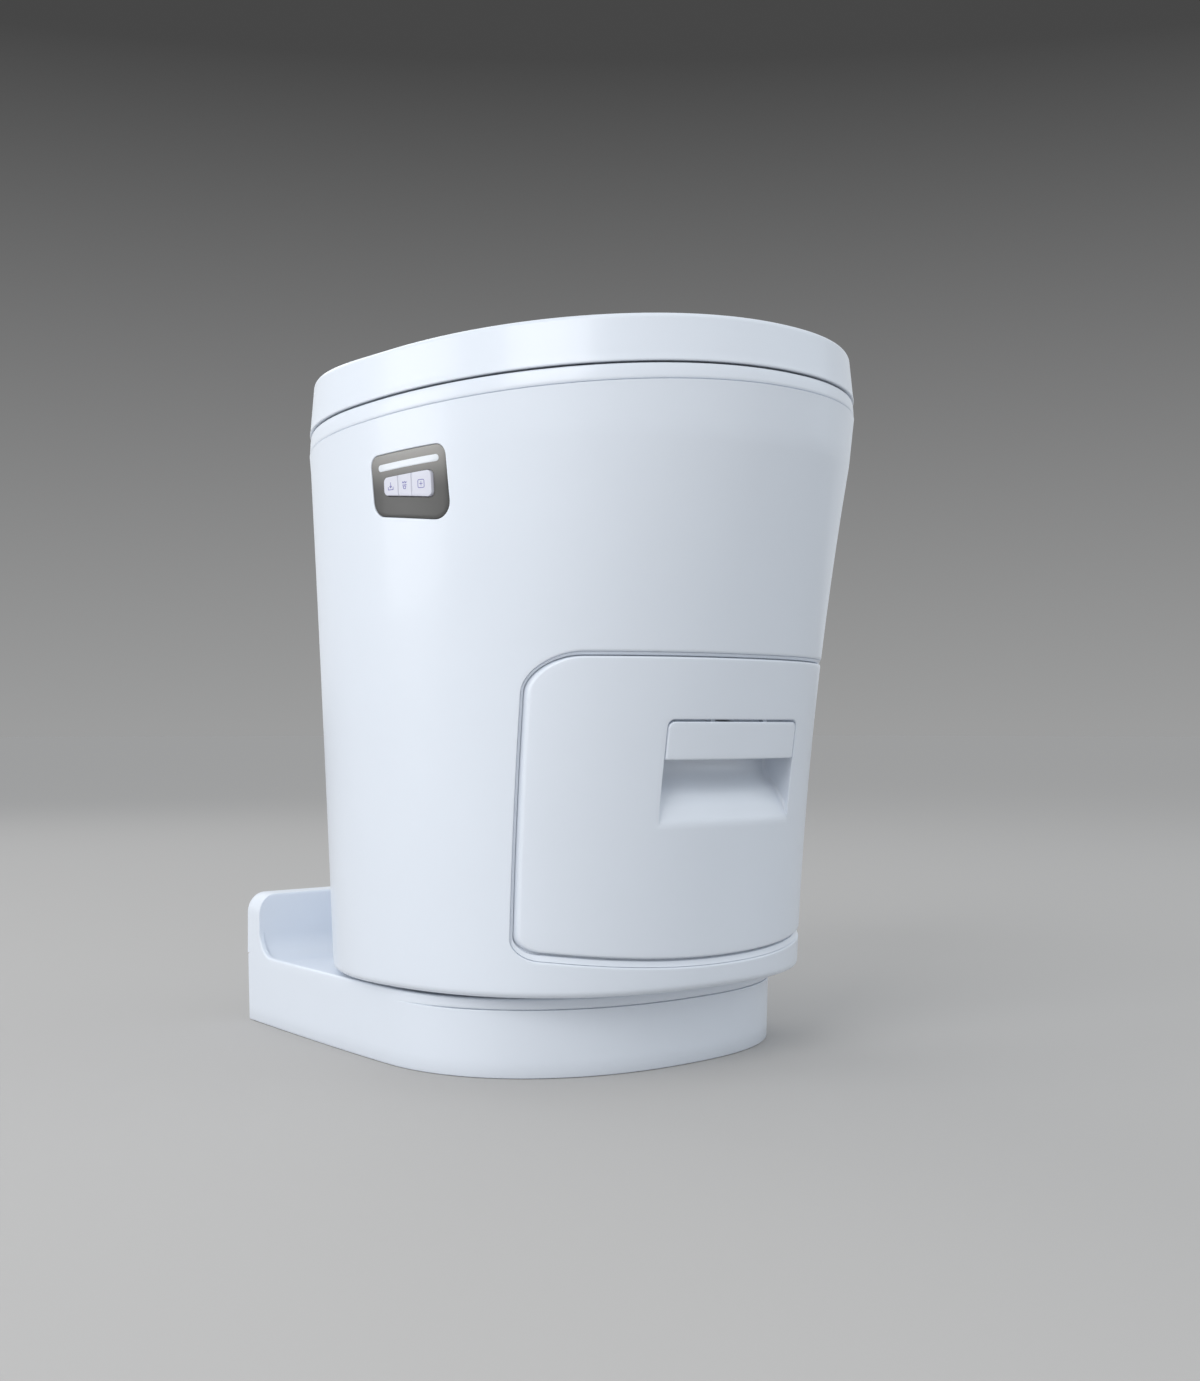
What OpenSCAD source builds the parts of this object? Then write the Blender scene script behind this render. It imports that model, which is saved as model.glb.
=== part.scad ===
// Waterless packing toilet: a tapered body that swivels on a floor base, with a seat and a lid,
// a film cassette round the bowl, a pair of sealing jaws under it and a waste drawer at the front.
// Millimetres. The swivel axis is Z, the floor is z = 0, the front is -Y and the control panel is on -X.

/* [Body shell] */
// Half width of the body at its bottom edge
body_half_w_bottom = 171.3; // [160:0.1:180]
// Half width of the body at its top edge
body_half_w_top = 189.5; // [180:0.1:200]
// Reach of the body in front of the swivel axis, at the bottom
body_front_bottom = 167.8; // [160:0.1:176]
// Reach of the body in front of the swivel axis, at the top
body_front_top = 235.9; // [225:0.1:245]
// Reach of the body behind the swivel axis, at the bottom
body_rear_bottom = 178.7; // [170:0.1:184]
// Reach of the body behind the swivel axis, at the top
body_rear_top = 194; // [190:0.1:200]
// Height of the body's bottom edge
body_bottom_z = 57.6; // [57:0.1:62]
// Fall of the body's top seam towards the rear, per millimetre
body_top_fall = 0.068; // [0.055:0.001:0.075]
// Wall of the body shell
shell_wall = 3; // [2.5:0.1:4]
// Radius of the body's rounded bottom edge
bottom_edge_r = 5; // [4:0.5:8]
// Squareness of the front half of the outline at the bottom, where 2 is an ellipse
front_square_bottom = 2.44; // [2.2:0.01:2.6]
// Squareness of the front half of the outline at the top
front_square_top = 2.12; // [2:0.01:2.4]
// Squareness of the rear half of the outline at the bottom
rear_square_bottom = 2.2; // [2:0.01:2.5]
// Squareness of the rear half of the outline at the top
rear_square_top = 2.31; // [2.1:0.01:2.6]
// Share by which the rear half narrows at the bottom
rear_taper_bottom = 0.127; // [0.1:0.001:0.15]
// Share by which the rear half narrows at the top
rear_taper_top = 0.167; // [0.15:0.001:0.19]
// Outward bow of the side walls
side_flare = 0.158; // [0:0.01:0.4]
// Outward bow of the front wall, which flares towards the top
front_flare = 0.64; // [0.4:0.01:0.8]
// Outward bow of the rear wall
rear_flare = 0.083; // [0:0.01:0.3]

/* [Deck, seat and lid] */
// Height of the deck's top face on the swivel axis
deck_top_z = 462.8; // [455:0.1:475]
// Height of the deck's band above the body's top seam
deck_band_h = 12.7; // [11:0.1:16]
// Fall of the deck, seat and lid towards the rear, per millimetre
deck_fall = 0.058; // [0.045:0.001:0.065]
// Thickness of the deck plate
deck_plate_t = 4; // [3:0.5:5]
// Width of the bevel round the deck
deck_bevel = 2.2; // [1.5:0.1:4]
// Depth of the lip that locates the deck in the body
deck_lip_h = 8; // [6:0.5:12]
// Gap between the deck and the rim of the lid
lid_gap = 1.8; // [1.5:0.1:4]
// Height of the lid from its rim to its top face on the swivel axis
lid_h = 32.4; // [31:0.1:40]
// Wall of the lid
lid_wall = 3.2; // [2.5:0.1:4]
// How far the lid's side wall leans in on its way up
lid_lean = 3.2; // [1:0.1:5]
// Radius of the lid's rounded top edge
lid_edge_r = 4; // [3.5:0.5:8]
// Half width of the opening in the seat
seat_hole_half_w = 100; // [95:1:104]
// Half length of the opening in the seat
seat_hole_half_l = 128; // [120:1:132]
// Distance of the seat's opening in front of the swivel axis
seat_hole_front = 42; // [38:1:45]
// Thickness of the seat
seat_t = 21; // [18:0.5:22]
// Clearance between the seat's edge and the lid
seat_lid_gap = 5; // [4:0.5:8]
// Height of the buffers between the seat and the deck
seat_buffer_h = 2.2; // [2:0.1:3]
// Radius of a buffer
buffer_r = 6; // [5:0.5:8]

/* [Seat hinge] */
// Distance of the hinge axis inside the body's rear edge
hinge_inset = 5.5; // [4.5:0.5:7]
// Depth of the hinge axis below the height of the deck's top face on the swivel axis
hinge_drop = 4.2; // [3.5:0.1:4.6]
// Radius of the hinge pins
hinge_pin_r = 3; // [2.5:0.1:3.5]
// Radius of the hinge knuckles
knuckle_r = 5.6; // [5:0.1:5.8]
// Distance of the innermost knuckle from the middle
knuckle_x = 10; // [6:1:14]
// Width of a knuckle
knuckle_w = 9; // [7:0.5:10]
// Side gap between two knuckles
knuckle_gap = 0.5; // [0.4:0.1:0.8]

/* [Bowl and film cassette] */
// Half width of the bowl's mouth
bowl_half_w = 110; // [106:1:114]
// Half length of the bowl's mouth
bowl_half_l = 138; // [134:1:141]
// Radius of the bowl's throat
throat_r = 50; // [44:1:54]
// Distance of the throat in front of the swivel axis
throat_front = 30; // [26:1:34]
// Wall of the bowl
bowl_wall = 2.5; // [2:0.1:3]
// Width of the ring channel in the film cassette
film_channel_w = 27; // [20:1:30]
// Height of the film cassette
cassette_h = 36; // [28:1:38]
// Wall of the film cassette
cassette_wall = 2; // [1.5:0.1:3]

/* [Waste drawer] */
// Half width of the drawer's front panel
front_half_w = 144; // [138:0.5:146]
// Height of the middle of the front panel's lower edge
front_bottom_z = 80.3; // [79:0.1:84]
// Rise of the front panel's lower edge from the middle to the sides
front_bottom_bow = 10.4; // [0:0.1:12]
// Height of the front panel's upper edge
front_top_z = 286; // [280:0.5:288]
// Radius of the front panel's upper corners
front_corner_r = 24; // [16:1:30]
// Radius of the front panel's lower corners
front_low_r = 12; // [8:0.5:20]
// Width of the groove beside and above the front panel
groove_w = 3; // [2:0.1:4]
// Width of the groove under the front panel
groove_bottom_w = 6; // [4:0.1:7]
// Width of the ledge behind the front panel's upper edge and sides
ledge_w = 5; // [4:0.1:6]
// Width of the ledge behind the front panel's lower edge
ledge_low_w = 2; // [1:0.1:3]
// Thickness of the front panel
front_t = 4; // [3:0.1:5]
// Space beside the tray for a side frame and its slide
slide_space = 19; // [18.5:0.1:21]
// Distance of the tray's front wall in front of the swivel axis
tray_front = 148; // [144:1:150]
// Height of the tray's underside
tray_bottom_z = 92; // [91:0.5:94]
// Height of the tray's walls
tray_h = 30; // [26:1:36]
// Wall of the tray
tray_wall = 2.5; // [2:0.1:3]
// Radius of the tray's front corners, which follow the front panel
tray_corner_r = 40; // [38:1:50]
// Height of the waste bin
bin_h = 166; // [140:1:170]

/* [Handle] */
// Half width of the latch paddle
paddle_half_w = 64.6; // [55:0.1:66]
// Height of the paddle's lower edge
paddle_bottom_z = 217; // [214:0.5:220]
// Height of the paddle's upper edge
paddle_top_z = 242.4; // [240:0.1:246]
// Height of the lower end of the finger recess
recess_bottom_z = 173.6; // [168:0.1:180]
// Depth of the finger recess behind the front face
recess_depth = 28; // [24:0.5:30]
// Radius of the paddle's pin
paddle_pin_r = 1.5; // [1.2:0.1:1.7]

/* [Drawer slides and side frames] */
// Distance of the side frames' outer faces from the middle
frame_half_w = 133; // [118:0.5:134]
// Thickness of the side frames
frame_t = 4; // [3:0.5:5]
// Distance of the side frames' front edges in front of the swivel axis
frame_front = 100; // [90:1:104]
// Distance of the side frames' rear edges behind the swivel axis
frame_rear = 98; // [90:1:102]
// Height of the slides' outer channels
slide_h = 22; // [20:1:26]
// Height of the slides' middle line
slide_z = 105; // [103:0.5:106]

/* [Sealing unit] */
// Height of the sealing frame's underside above the front panel's upper edge
seal_lift = 6.3; // [6:0.1:10]
// Height of the sealing frame
seal_h = 38; // [36:0.5:42]
// Wall of the sealing frame
seal_wall = 4; // [3:0.5:5]
// Thickness of each jaw along its travel
jaw_t = 22; // [18:0.5:26]
// Height of each jaw
jaw_h = 24; // [20:0.5:26]
// Travel of each jaw
jaw_travel = 52; // [50:0.5:54]
// Radius of the guide rods
guide_r = 4; // [3:0.1:5]
// Distance of the guide rods inside the jaws' ends
guide_inset = 8; // [6:0.5:10]
// Radius of the lead screw
screw_r = 4; // [3:0.1:4.4]
// Distance between the lead screw and the guide rod beside it
screw_pitch = 15; // [12:0.5:17]
// Radius of the gear motor
motor_r = 17; // [14:0.5:18]
// Length of the gear motor
motor_l = 52; // [40:1:56]

/* [Control panel] */
// Distance of the panel's front lower corner in front of the swivel axis
panel_front = 84.3; // [80:0.1:88]
// Distance of the panel's rear lower corner in front of the swivel axis
panel_rear = 14.6; // [9:0.1:16]
// Lean of the panel's front and rear edges towards the rear
panel_lean = 2.6; // [0:0.1:4]
// Distance of the panel's rear upper corner below the body's top seam
panel_drop = 25; // [23:0.1:28]
// Slope of the panel's upper edge, per millimetre
panel_slope = 0.05; // [0.03:0.005:0.07]
// Height of the panel at its rear
panel_rear_h = 40.4; // [38:0.1:44]
// Height of the panel at its front
panel_front_h = 51.4; // [44:0.1:54]
// Corner radius of the panel
panel_corner_r = 8; // [6:0.5:12]
// Distance of the buttons' upper rear corner below the panel's
button_drop = 16.4; // [15.5:0.1:18]
// Height of the row of buttons at its rear
button_rear_h = 11.8; // [10:0.1:13]
// Height of the row of buttons at its front
button_front_h = 18.2; // [14:0.1:20]
// How far the buttons stand out of the panel
button_rise = 1.5; // [1.3:0.1:2]
// Travel of the buttons
button_travel = 1.2; // [0.8:0.1:1.2]
// Distance of the light bar's middle line below the panel's upper edge
light_drop = 9; // [8:0.1:9.5]
// Height of the light bar
light_h = 5.2; // [4:0.1:5.6]

/* [Base] */
// Half width of the base at its widest
base_half_w = 162.2; // [155:0.1:170]
// Reach of the base in front of its widest line
base_front = 135.1; // [130:0.1:145]
// Distance of the base's widest line in front of the swivel axis
base_wide_front = 5.2; // [0:0.1:10]
// Squareness of the front of the base, where 2 is an ellipse
base_square = 2.3; // [2:0.01:2.5]
// Half width of the base at the rear
base_rear_half_w = 130.9; // [125:0.1:140]
// Distance of the base's rear face behind the swivel axis
base_rear = 239.6; // [236:0.1:245]
// Height of the base's rim
base_rim_z = 54.5; // [53:0.1:55]
// Height of the base's seam line
base_seam_z = 46.6; // [44:0.1:48]
// Wall of the base
base_wall = 3.5; // [3:0.1:5]
// Height of the rear upright
upright_z = 103.9; // [95:0.1:110]
// Thickness of the rear upright with its cover
upright_t = 24; // [20:0.5:26]
// Corner radius of the rear upright
upright_corner_r = 16; // [10:0.5:22]
// Radius of the sweep between the upright and the rim
upright_sweep_r = 20; // [14:0.5:22]
// Height of the floor of the pocket behind the body
pocket_floor_z = 50; // [49:0.1:51]
// Thickness of the rear cover
cover_t = 3.7; // [3:0.1:4.5]
// Thickness of the floor plate
floor_plate_t = 4; // [3:0.5:5]
// Spacing of the floor bolts, both ways
floor_bolt_spacing = 200; // [180:1:205]
// Radius of the floor bolt holes
floor_bolt_r = 2.75; // [2.2:0.05:3.5]
// Radius of the cable inlet's bore
inlet_bore_r = 3.5; // [2.5:0.1:4.5]

/* [Swivel] */
// Radius of the swivel hub
hub_r = 24.95; // [22:0.05:28]
// Radius of the cable passage through the hub
hub_bore_r = 15; // [10:0.5:17]
// Radius of the turntable
turntable_r = 128; // [122:0.5:129]
// Middle radius of the slide ring
slide_ring_r = 105; // [100:0.5:110]
// Radius of the circle of the turntable's screws
turntable_screw_circle_r = 75; // [65:1:85]
// Number of screws in the turntable
turntable_screws_n = 6; // [4:1:8]

/* [Hidden] */

// Points round a lofted ring, and segments round a true circle
ring_points = 72;
circle_fn = 64;
// Number of loft rings up the body wall
wall_rings = 7;
// General clearances: between parts that touch, and beside a running shaft
seat_gap = 0.3;
shaft_gap = 0.05;
// A cut runs this far past the face that it starts from
past = 1;
// A cut or a prism that crosses the whole part ends this far outside it
reach = 20;
// Heights and widths that follow from the sizes above
body_top_z = deck_top_z - deck_band_h;
hinge_y = body_rear_top - hinge_inset;
hinge_z = deck_top_z - hinge_drop;
tray_half_w = frame_half_w - slide_space;
seal_z = front_top_z + seal_lift;
// Prisms that shape the front end behind it here, and those that shape the side beside it here
front_prism_y = -body_front_bottom * 0.36;
recess_prism_y = -body_front_bottom * 0.6;
side_prism_x = -body_half_w_top * 0.55;
// Colours
white_plastic = [0.88, 0.91, 0.95];
inner_plastic = [0.80, 0.83, 0.87];
grey_plastic = [0.45, 0.45, 0.45];
dark_plastic = [0.16, 0.17, 0.19];
steel = [0.70, 0.71, 0.73];
rubber = [0.10, 0.10, 0.11];

// Outline of a plan: superellipse halves, of which the rear one narrows towards the back
function sgn(v) = v < 0 ? -1 : 1;
function plan_point(t, a, front, rear, sf, sr, taper, cy) =
    let (c = cos(t), s = sin(t), b = s < 0 ? front : rear, e = s < 0 ? sf : sr,
        y = b * sgn(s) * pow(abs(s), 2 / e), x = a * sgn(c) * pow(abs(c), 2 / e))
    [x * (s > 0 ? 1 - taper * pow(y / rear, 2) : 1), y + cy];
function plan(a, front, rear, sf, sr, taper, cy = 0) =
    [for (i = [0 : ring_points - 1]) plan_point(360 * i / ring_points, a, front, rear, sf, sr, taper, cy)];
function oval(a, b, cy) = plan(a, b, b, 2.15, 2.15, 0, cy);

// Outline of the body at height share f (0 bottom, 1 top), drawn in by an inset
function bowed(f, flare) = f + flare * f * (f - 1);
function between(low, high, f) = low + (high - low) * f;
function body_plan(f, inset) = plan(
    between(body_half_w_bottom, body_half_w_top, bowed(f, side_flare)) - inset,
    between(body_front_bottom, body_front_top, bowed(f, front_flare)) - inset,
    between(body_rear_bottom, body_rear_top, bowed(f, rear_flare)) - inset,
    between(front_square_bottom, front_square_top, f),
    between(rear_square_bottom, rear_square_top, f),
    between(rear_taper_bottom, rear_taper_top, f));
function share(z) = (z - body_bottom_z) / (body_top_z - body_bottom_z);
function top_plan(inset) = body_plan(1, inset);

// A ring in space: plan points at a height that falls towards the rear
function ring(points, z, fall = 0) = [for (p = points) [p[0], p[1], z - fall * p[1]]];

// Distance of the body's surface from the axis, in front on the middle plane and at the side
function body_front_at(z) = between(body_front_bottom, body_front_top, bowed(share(z), front_flare));
function body_side_at(y, z) = let (n = between(front_square_bottom, front_square_top, share(z)))
    between(body_half_w_bottom, body_half_w_top, bowed(share(z), side_flare))
    * pow(1 - pow(abs(y) / body_front_at(z), n), 1 / n);

// Closed solid through rings of equal length, from the lowest ring up
module loft(rings) {
    n = len(rings[0]);
    m = len(rings);
    points = [for (r = rings) each r];
    sides = [for (j = [0 : m - 2]) for (i = [0 : n - 1])
        let (k = (i + 1) % n, low = j * n, high = (j + 1) * n)
        each [[low + i, high + i, high + k], [low + i, high + k, low + k]]];
    bottom = [for (i = [0 : n - 1]) i];
    top = [for (i = [0 : n - 1]) m * n - 1 - i];
    polyhedron(points, concat([bottom], sides, [top]));
}

// Solid of the body between two heights, drawn in by an inset
module body_solid(low_z, high_z, inset, rings = 4) {
    loft([for (j = [0 : rings]) let (z = between(low_z, high_z, j / rings))
        ring(body_plan(share(z), inset), z)]);
}

// Rounded rectangle between two corners
function rounded(x0, x1, y0, y1, r, steps = 6) = [for (c = [[x1 - r, y1 - r, 0], [x0 + r, y1 - r, 90],
    [x0 + r, y0 + r, 180], [x1 - r, y0 + r, 270]]) for (i = [0 : steps])
    [c[0] + r * cos(c[2] + 90 * i / steps), c[1] + r * sin(c[2] + 90 * i / steps)]];

// Box between two corners
module block(low, high) { translate(low) cube(high - low); }
// Prism of an XZ outline along Y, and of a YZ outline along X
module along_y(y0, y1, outline) {
    translate([0, y1, 0]) rotate([90, 0, 0]) linear_extrude(y1 - y0) polygon(outline);
}
module along_x(x0, x1, outline) {
    translate([x0, 0, 0]) rotate([90, 0, 90]) linear_extrude(x1 - x0) polygon(outline);
}
module rod_y(x, z, r, y0, y1) {
    translate([x, y1, z]) rotate([90, 0, 0]) cylinder(r = r, h = y1 - y0, $fn = circle_fn);
}
module rod_x(y, z, r, x0, x1) {
    translate([x0, y, z]) rotate([0, 90, 0]) cylinder(r = r, h = x1 - x0, $fn = circle_fn);
}
module rod_z(x, y, r, z0, z1) { translate([x, y, z0]) cylinder(r = r, h = z1 - z0, $fn = circle_fn); }
module both_sides() { children(); mirror([1, 0, 0]) children(); }

// Base outline: a squarish round front and sides that draw in towards the rear
base_side_power = 1.2;
base_side_steps = 8;
base_corner_r = 3;
function base_side_x(y, inset) = base_half_w - inset - (base_half_w - base_rear_half_w)
    * pow((y + base_wide_front) / (base_rear + base_wide_front), base_side_power);
function base_side_point(i, last_y, inset) =
    let (y = between(-base_wide_front, last_y, i / base_side_steps)) [base_side_x(y, inset), y];
function base_plan(inset) = let (rear_y = base_rear - inset, last_y = rear_y - base_corner_r,
    corner_x = base_side_x(last_y, inset) - base_corner_r)
    concat(
        [for (i = [0 : ring_points / 2]) plan_point(180 + 360 * i / ring_points, base_half_w - inset,
            base_front - inset, 1, base_square, 2, 0, -base_wide_front)],
        [for (i = [1 : base_side_steps]) base_side_point(i, last_y, inset)],
        [for (a = [15 : 15 : 90]) [corner_x + base_corner_r * cos(a), last_y + base_corner_r * sin(a)]],
        [for (a = [90 : 15 : 165]) [-corner_x + base_corner_r * cos(a), last_y + base_corner_r * sin(a)]],
        [for (i = [base_side_steps : -1 : 1]) let (p = base_side_point(i, last_y, inset)) [-p[0], p[1]]]);
upright_front_y = base_rear - upright_t;
cover_y = base_rear - cover_t - seat_gap;
top_plate_z = 46.5;
base_hub_outer_r = 52;
base_hub_inner_r = 47;
slide_ring_w = 20;
slide_ring_depth = 2;
rim_w = 4;
pocket_start_y = 125;
seam_depth = 0.8;
cover_inset = 1;

// Profile of the upright across its width, drawn in by an inset
function upright_outline(low_z, inset, half_w = base_side_x(upright_front_y, 0)) =
    let (w = half_w - inset, top = upright_z - inset)
    concat([[w, low_z]],
        [for (a = [0 : 10 : 90])
            [w - upright_corner_r * (1 - cos(a)), top - upright_corner_r * (1 - sin(a))]],
        [for (a = [90 : 10 : 180])
            [-w + upright_corner_r * (1 + cos(a)), top - upright_corner_r * (1 - sin(a))]],
        [[-w, low_z]]);
// Side profile of a sweep that rises from a level face to the upright's front face
function sweep_outline(level_z, high_z, low_z) = concat(
    [[base_rear, low_z], [base_rear, high_z], [upright_front_y, high_z]],
    [for (a = [0 : -10 : -90]) [upright_front_y - upright_sweep_r + upright_sweep_r * cos(a),
        level_z + upright_sweep_r + upright_sweep_r * sin(a)]],
    [[upright_front_y - upright_sweep_r, low_z]]);
// Side profile of the pocket's open space
pocket_outline = concat([[pocket_start_y, upright_z + past], [pocket_start_y, pocket_floor_z]],
    [for (a = [-90 : 10 : 0]) [upright_front_y - upright_sweep_r + upright_sweep_r * cos(a),
        pocket_floor_z + upright_sweep_r + upright_sweep_r * sin(a)]],
    [[upright_front_y, upright_z + past]]);

module base_housing() {
    color(white_plastic) difference() {
        union() {
            linear_extrude(base_rim_z) polygon(base_plan(0));
            intersection() {
                linear_extrude(upright_z) polygon(base_plan(0));
                along_x(-base_half_w, base_half_w, sweep_outline(base_rim_z, upright_z, past));
                along_y(0, base_rear + past, upright_outline(0, 0));
            }
        }
        difference() {
            translate([0, 0, -past]) linear_extrude(top_plate_z + past) polygon(base_plan(base_wall));
            rod_z(0, 0, base_hub_outer_r, floor_plate_t + seat_gap, base_rim_z);
        }
        rod_z(0, 0, base_hub_inner_r, -past, top_plate_z);
        rod_z(0, 0, hub_r + shaft_gap, top_plate_z - past, base_rim_z + past);
        difference() {
            rod_z(0, 0, slide_ring_r + slide_ring_w / 2 + seat_gap,
                base_rim_z - slide_ring_depth, base_rim_z + past);
            rod_z(0, 0, slide_ring_r - slide_ring_w / 2 - seat_gap, 0, base_rim_z + 2 * past);
        }
        intersection() {
            linear_extrude(upright_z + 2 * past) polygon(base_plan(rim_w));
            along_x(-base_half_w, base_half_w, pocket_outline);
        }
        // room for wiring inside the upright, closed by the rear cover
        block([-base_rear_half_w + 3 * base_wall, upright_front_y + base_wall, top_plate_z - past],
            [base_rear_half_w - 3 * base_wall, base_rear - base_wall, upright_z - 3 * base_wall]);
        along_y(cover_y, base_rear + past, upright_outline(base_rim_z, -past));
        for (x = cover_screw_x, z = cover_screw_z)
            rod_y(x, z, cover_screw_r - 4 * shaft_gap, cover_y - cover_screw_l - 2, base_rear);
        // seam line round the front
        translate([0, 0, base_seam_z]) linear_extrude(seam_depth) difference() {
            polygon(base_plan(-past));
            polygon(base_plan(seam_depth));
            translate([-base_half_w, pocket_start_y / 2]) square([2 * base_half_w, base_rear]);
        }
    }
}

cover_screw_x = [-118, 118];
cover_screw_z = [62, 80];
cover_screw_r = 1.6;
cover_screw_head_r = 3;
cover_screw_l = 6;
cover_head_h = 1.8;
inlet_x = -70;
inlet_z = 78;
inlet_flange_r = 10;
inlet_body_r = 7;
inlet_flange_t = 1.6;
inlet_body_l = 14;

module rear_cover() {
    color(white_plastic) difference() {
        along_y(cover_y + seat_gap, base_rear,
            upright_outline(base_rim_z + seat_gap, cover_inset, base_rear_half_w));
        for (x = cover_screw_x, z = cover_screw_z) {
            rod_y(x, z, cover_screw_r + shaft_gap, cover_y - past, base_rear + past);
            rod_y(x, z, cover_screw_head_r + shaft_gap, base_rear - cover_head_h, base_rear + past);
        }
        rod_y(inlet_x, inlet_z, inlet_body_r + shaft_gap, cover_y - past, base_rear + past);
    }
}

module rear_cover_screws() {
    color(steel) for (x = cover_screw_x, z = cover_screw_z) {
        rod_y(x, z, cover_screw_r - 5 * shaft_gap, cover_y - cover_screw_l,
            base_rear - cover_head_h + shaft_gap);
        rod_y(x, z, cover_screw_head_r, base_rear - cover_head_h + shaft_gap, base_rear);
    }
}

module cable_inlet() {
    color(dark_plastic) difference() {
        union() {
            rod_y(inlet_x, inlet_z, inlet_flange_r, base_rear + shaft_gap, base_rear + inlet_flange_t);
            rod_y(inlet_x, inlet_z, inlet_body_r, base_rear - inlet_body_l, base_rear + inlet_flange_t);
        }
        rod_y(inlet_x, inlet_z, inlet_bore_r,
            base_rear - inlet_body_l - past, base_rear + inlet_flange_t + past);
    }
}

module floor_plate() {
    s = floor_bolt_spacing / 2;
    color(steel) difference() {
        linear_extrude(floor_plate_t) polygon(base_plan(base_wall + seat_gap));
        for (x = [-s, s], y = [-s, s]) rod_z(x, y, floor_bolt_r, -past, floor_plate_t + past);
        rod_z(0, 0, hub_bore_r, -past, floor_plate_t + past);
    }
}

turntable_z = base_rim_z + 2.4;
turntable_t = body_bottom_z + shell_wall - turntable_z;
hub_bottom_z = 36;
nut_t = 6;
nut_outer_r = 38;
turntable_screw_r = 2.5;
turntable_screw_head_r = 4.5;
turntable_screw_head_h = 3;
pan_z = body_bottom_z + shell_wall + seat_gap;
pan_t = 4;
pan_inset = 9;

module slide_ring() {
    color(inner_plastic) difference() {
        rod_z(0, 0, slide_ring_r + slide_ring_w / 2,
            base_rim_z - slide_ring_depth + seat_gap, turntable_z - seat_gap);
        rod_z(0, 0, slide_ring_r - slide_ring_w / 2, 0, turntable_z + past);
    }
}

module turntable_holes(r) {
    for (i = [0 : turntable_screws_n - 1]) rotate([0, 0, 360 * i / turntable_screws_n])
        rod_z(turntable_screw_circle_r, 0, r, turntable_z - past, pan_z + pan_t + past);
}

module turntable() {
    color(inner_plastic) difference() {
        union() {
            rod_z(0, 0, turntable_r, turntable_z, turntable_z + turntable_t);
            rod_z(0, 0, hub_r, hub_bottom_z, turntable_z + past);
        }
        rod_z(0, 0, hub_bore_r, hub_bottom_z - past, turntable_z + turntable_t + past);
        turntable_holes(turntable_screw_r + shaft_gap);
    }
}

module hub_nut() {
    color(steel) difference() {
        rod_z(0, 0, nut_outer_r, top_plate_z - seat_gap - nut_t, top_plate_z - seat_gap);
        rod_z(0, 0, hub_r + shaft_gap, 0, top_plate_z);
    }
}

module body_pan() {
    color(inner_plastic) difference() {
        translate([0, 0, pan_z]) linear_extrude(pan_t) polygon(body_plan(0, pan_inset));
        rod_z(0, 0, hub_bore_r, pan_z - past, pan_z + pan_t + past);
        turntable_holes(turntable_screw_r + shaft_gap);
    }
}

module turntable_screws() {
    color(steel) for (i = [0 : turntable_screws_n - 1]) rotate([0, 0, 360 * i / turntable_screws_n]) {
        rod_z(turntable_screw_circle_r, 0, turntable_screw_r, turntable_z, pan_z + pan_t + shaft_gap);
        rod_z(turntable_screw_circle_r, 0, turntable_screw_head_r, pan_z + pan_t + shaft_gap,
            pan_z + pan_t + turntable_screw_head_h);
    }
}

// Outline of the front panel, grown at the sides and above, and grown below
low_edge_steps = 10;
function front_low_z(x) = front_bottom_z + front_bottom_bow * pow(x / front_half_w, 2);
function front_outline(side, below) = let (w = front_half_w + side, r = front_corner_r + side,
    low_r = front_low_r + side, x1 = w - low_r, corner_z = front_low_z(x1) - below + low_r)
    concat(
        [for (i = [0 : low_edge_steps]) let (x = between(-x1, x1, i / low_edge_steps))
            [x, front_low_z(x) - below]],
        [for (a = [-75 : 15 : 0]) [x1 + low_r * cos(a), corner_z + low_r * sin(a)]],
        [for (a = [0 : 15 : 90]) [w - r + r * cos(a), front_top_z + side - r + r * sin(a)]],
        [for (a = [90 : 15 : 180]) [-w + r + r * cos(a), front_top_z + side - r + r * sin(a)]],
        [for (a = [180 : 15 : 255]) [-x1 + low_r * cos(a), corner_z + low_r * sin(a)]]);
module front_outline_prism(side, below) {
    along_y(-body_front_top - reach, front_prism_y, front_outline(side, below));
}

// Four-cornered outline with rounded corners, counterclockwise, grown by a gap
function unit(v) = v / norm(v);
function rounded_quad(p, r, gap, steps = 5) = [for (i = [0 : 3])
    let (u = unit(p[(i + 3) % 4] - p[i]), v = unit(p[(i + 1) % 4] - p[i]), half = acos(u * v) / 2,
        c = p[i] + unit(u + v) * r / sin(half), start = atan2(u[0], -u[1]))
    for (j = [0 : steps]) let (a = start + (180 - 2 * half) * j / steps) c + (r + gap) * [cos(a), sin(a)]];

// Outlines of the control panel, of its row of buttons and of its light bar
panel_rear_top_z = body_top_z - panel_drop;
function panel_top_at(y) = panel_rear_top_z - panel_slope * (y + panel_rear - panel_lean);
panel_low_z = panel_top_at(-panel_front + panel_lean) - panel_front_h;
panel_high_z = panel_top_at(-panel_front + panel_lean);
panel_corners = [[-panel_front, panel_low_z], [-panel_rear, panel_rear_top_z - panel_rear_h],
    [-panel_rear + panel_lean, panel_rear_top_z], [-panel_front + panel_lean, panel_high_z]];
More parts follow.
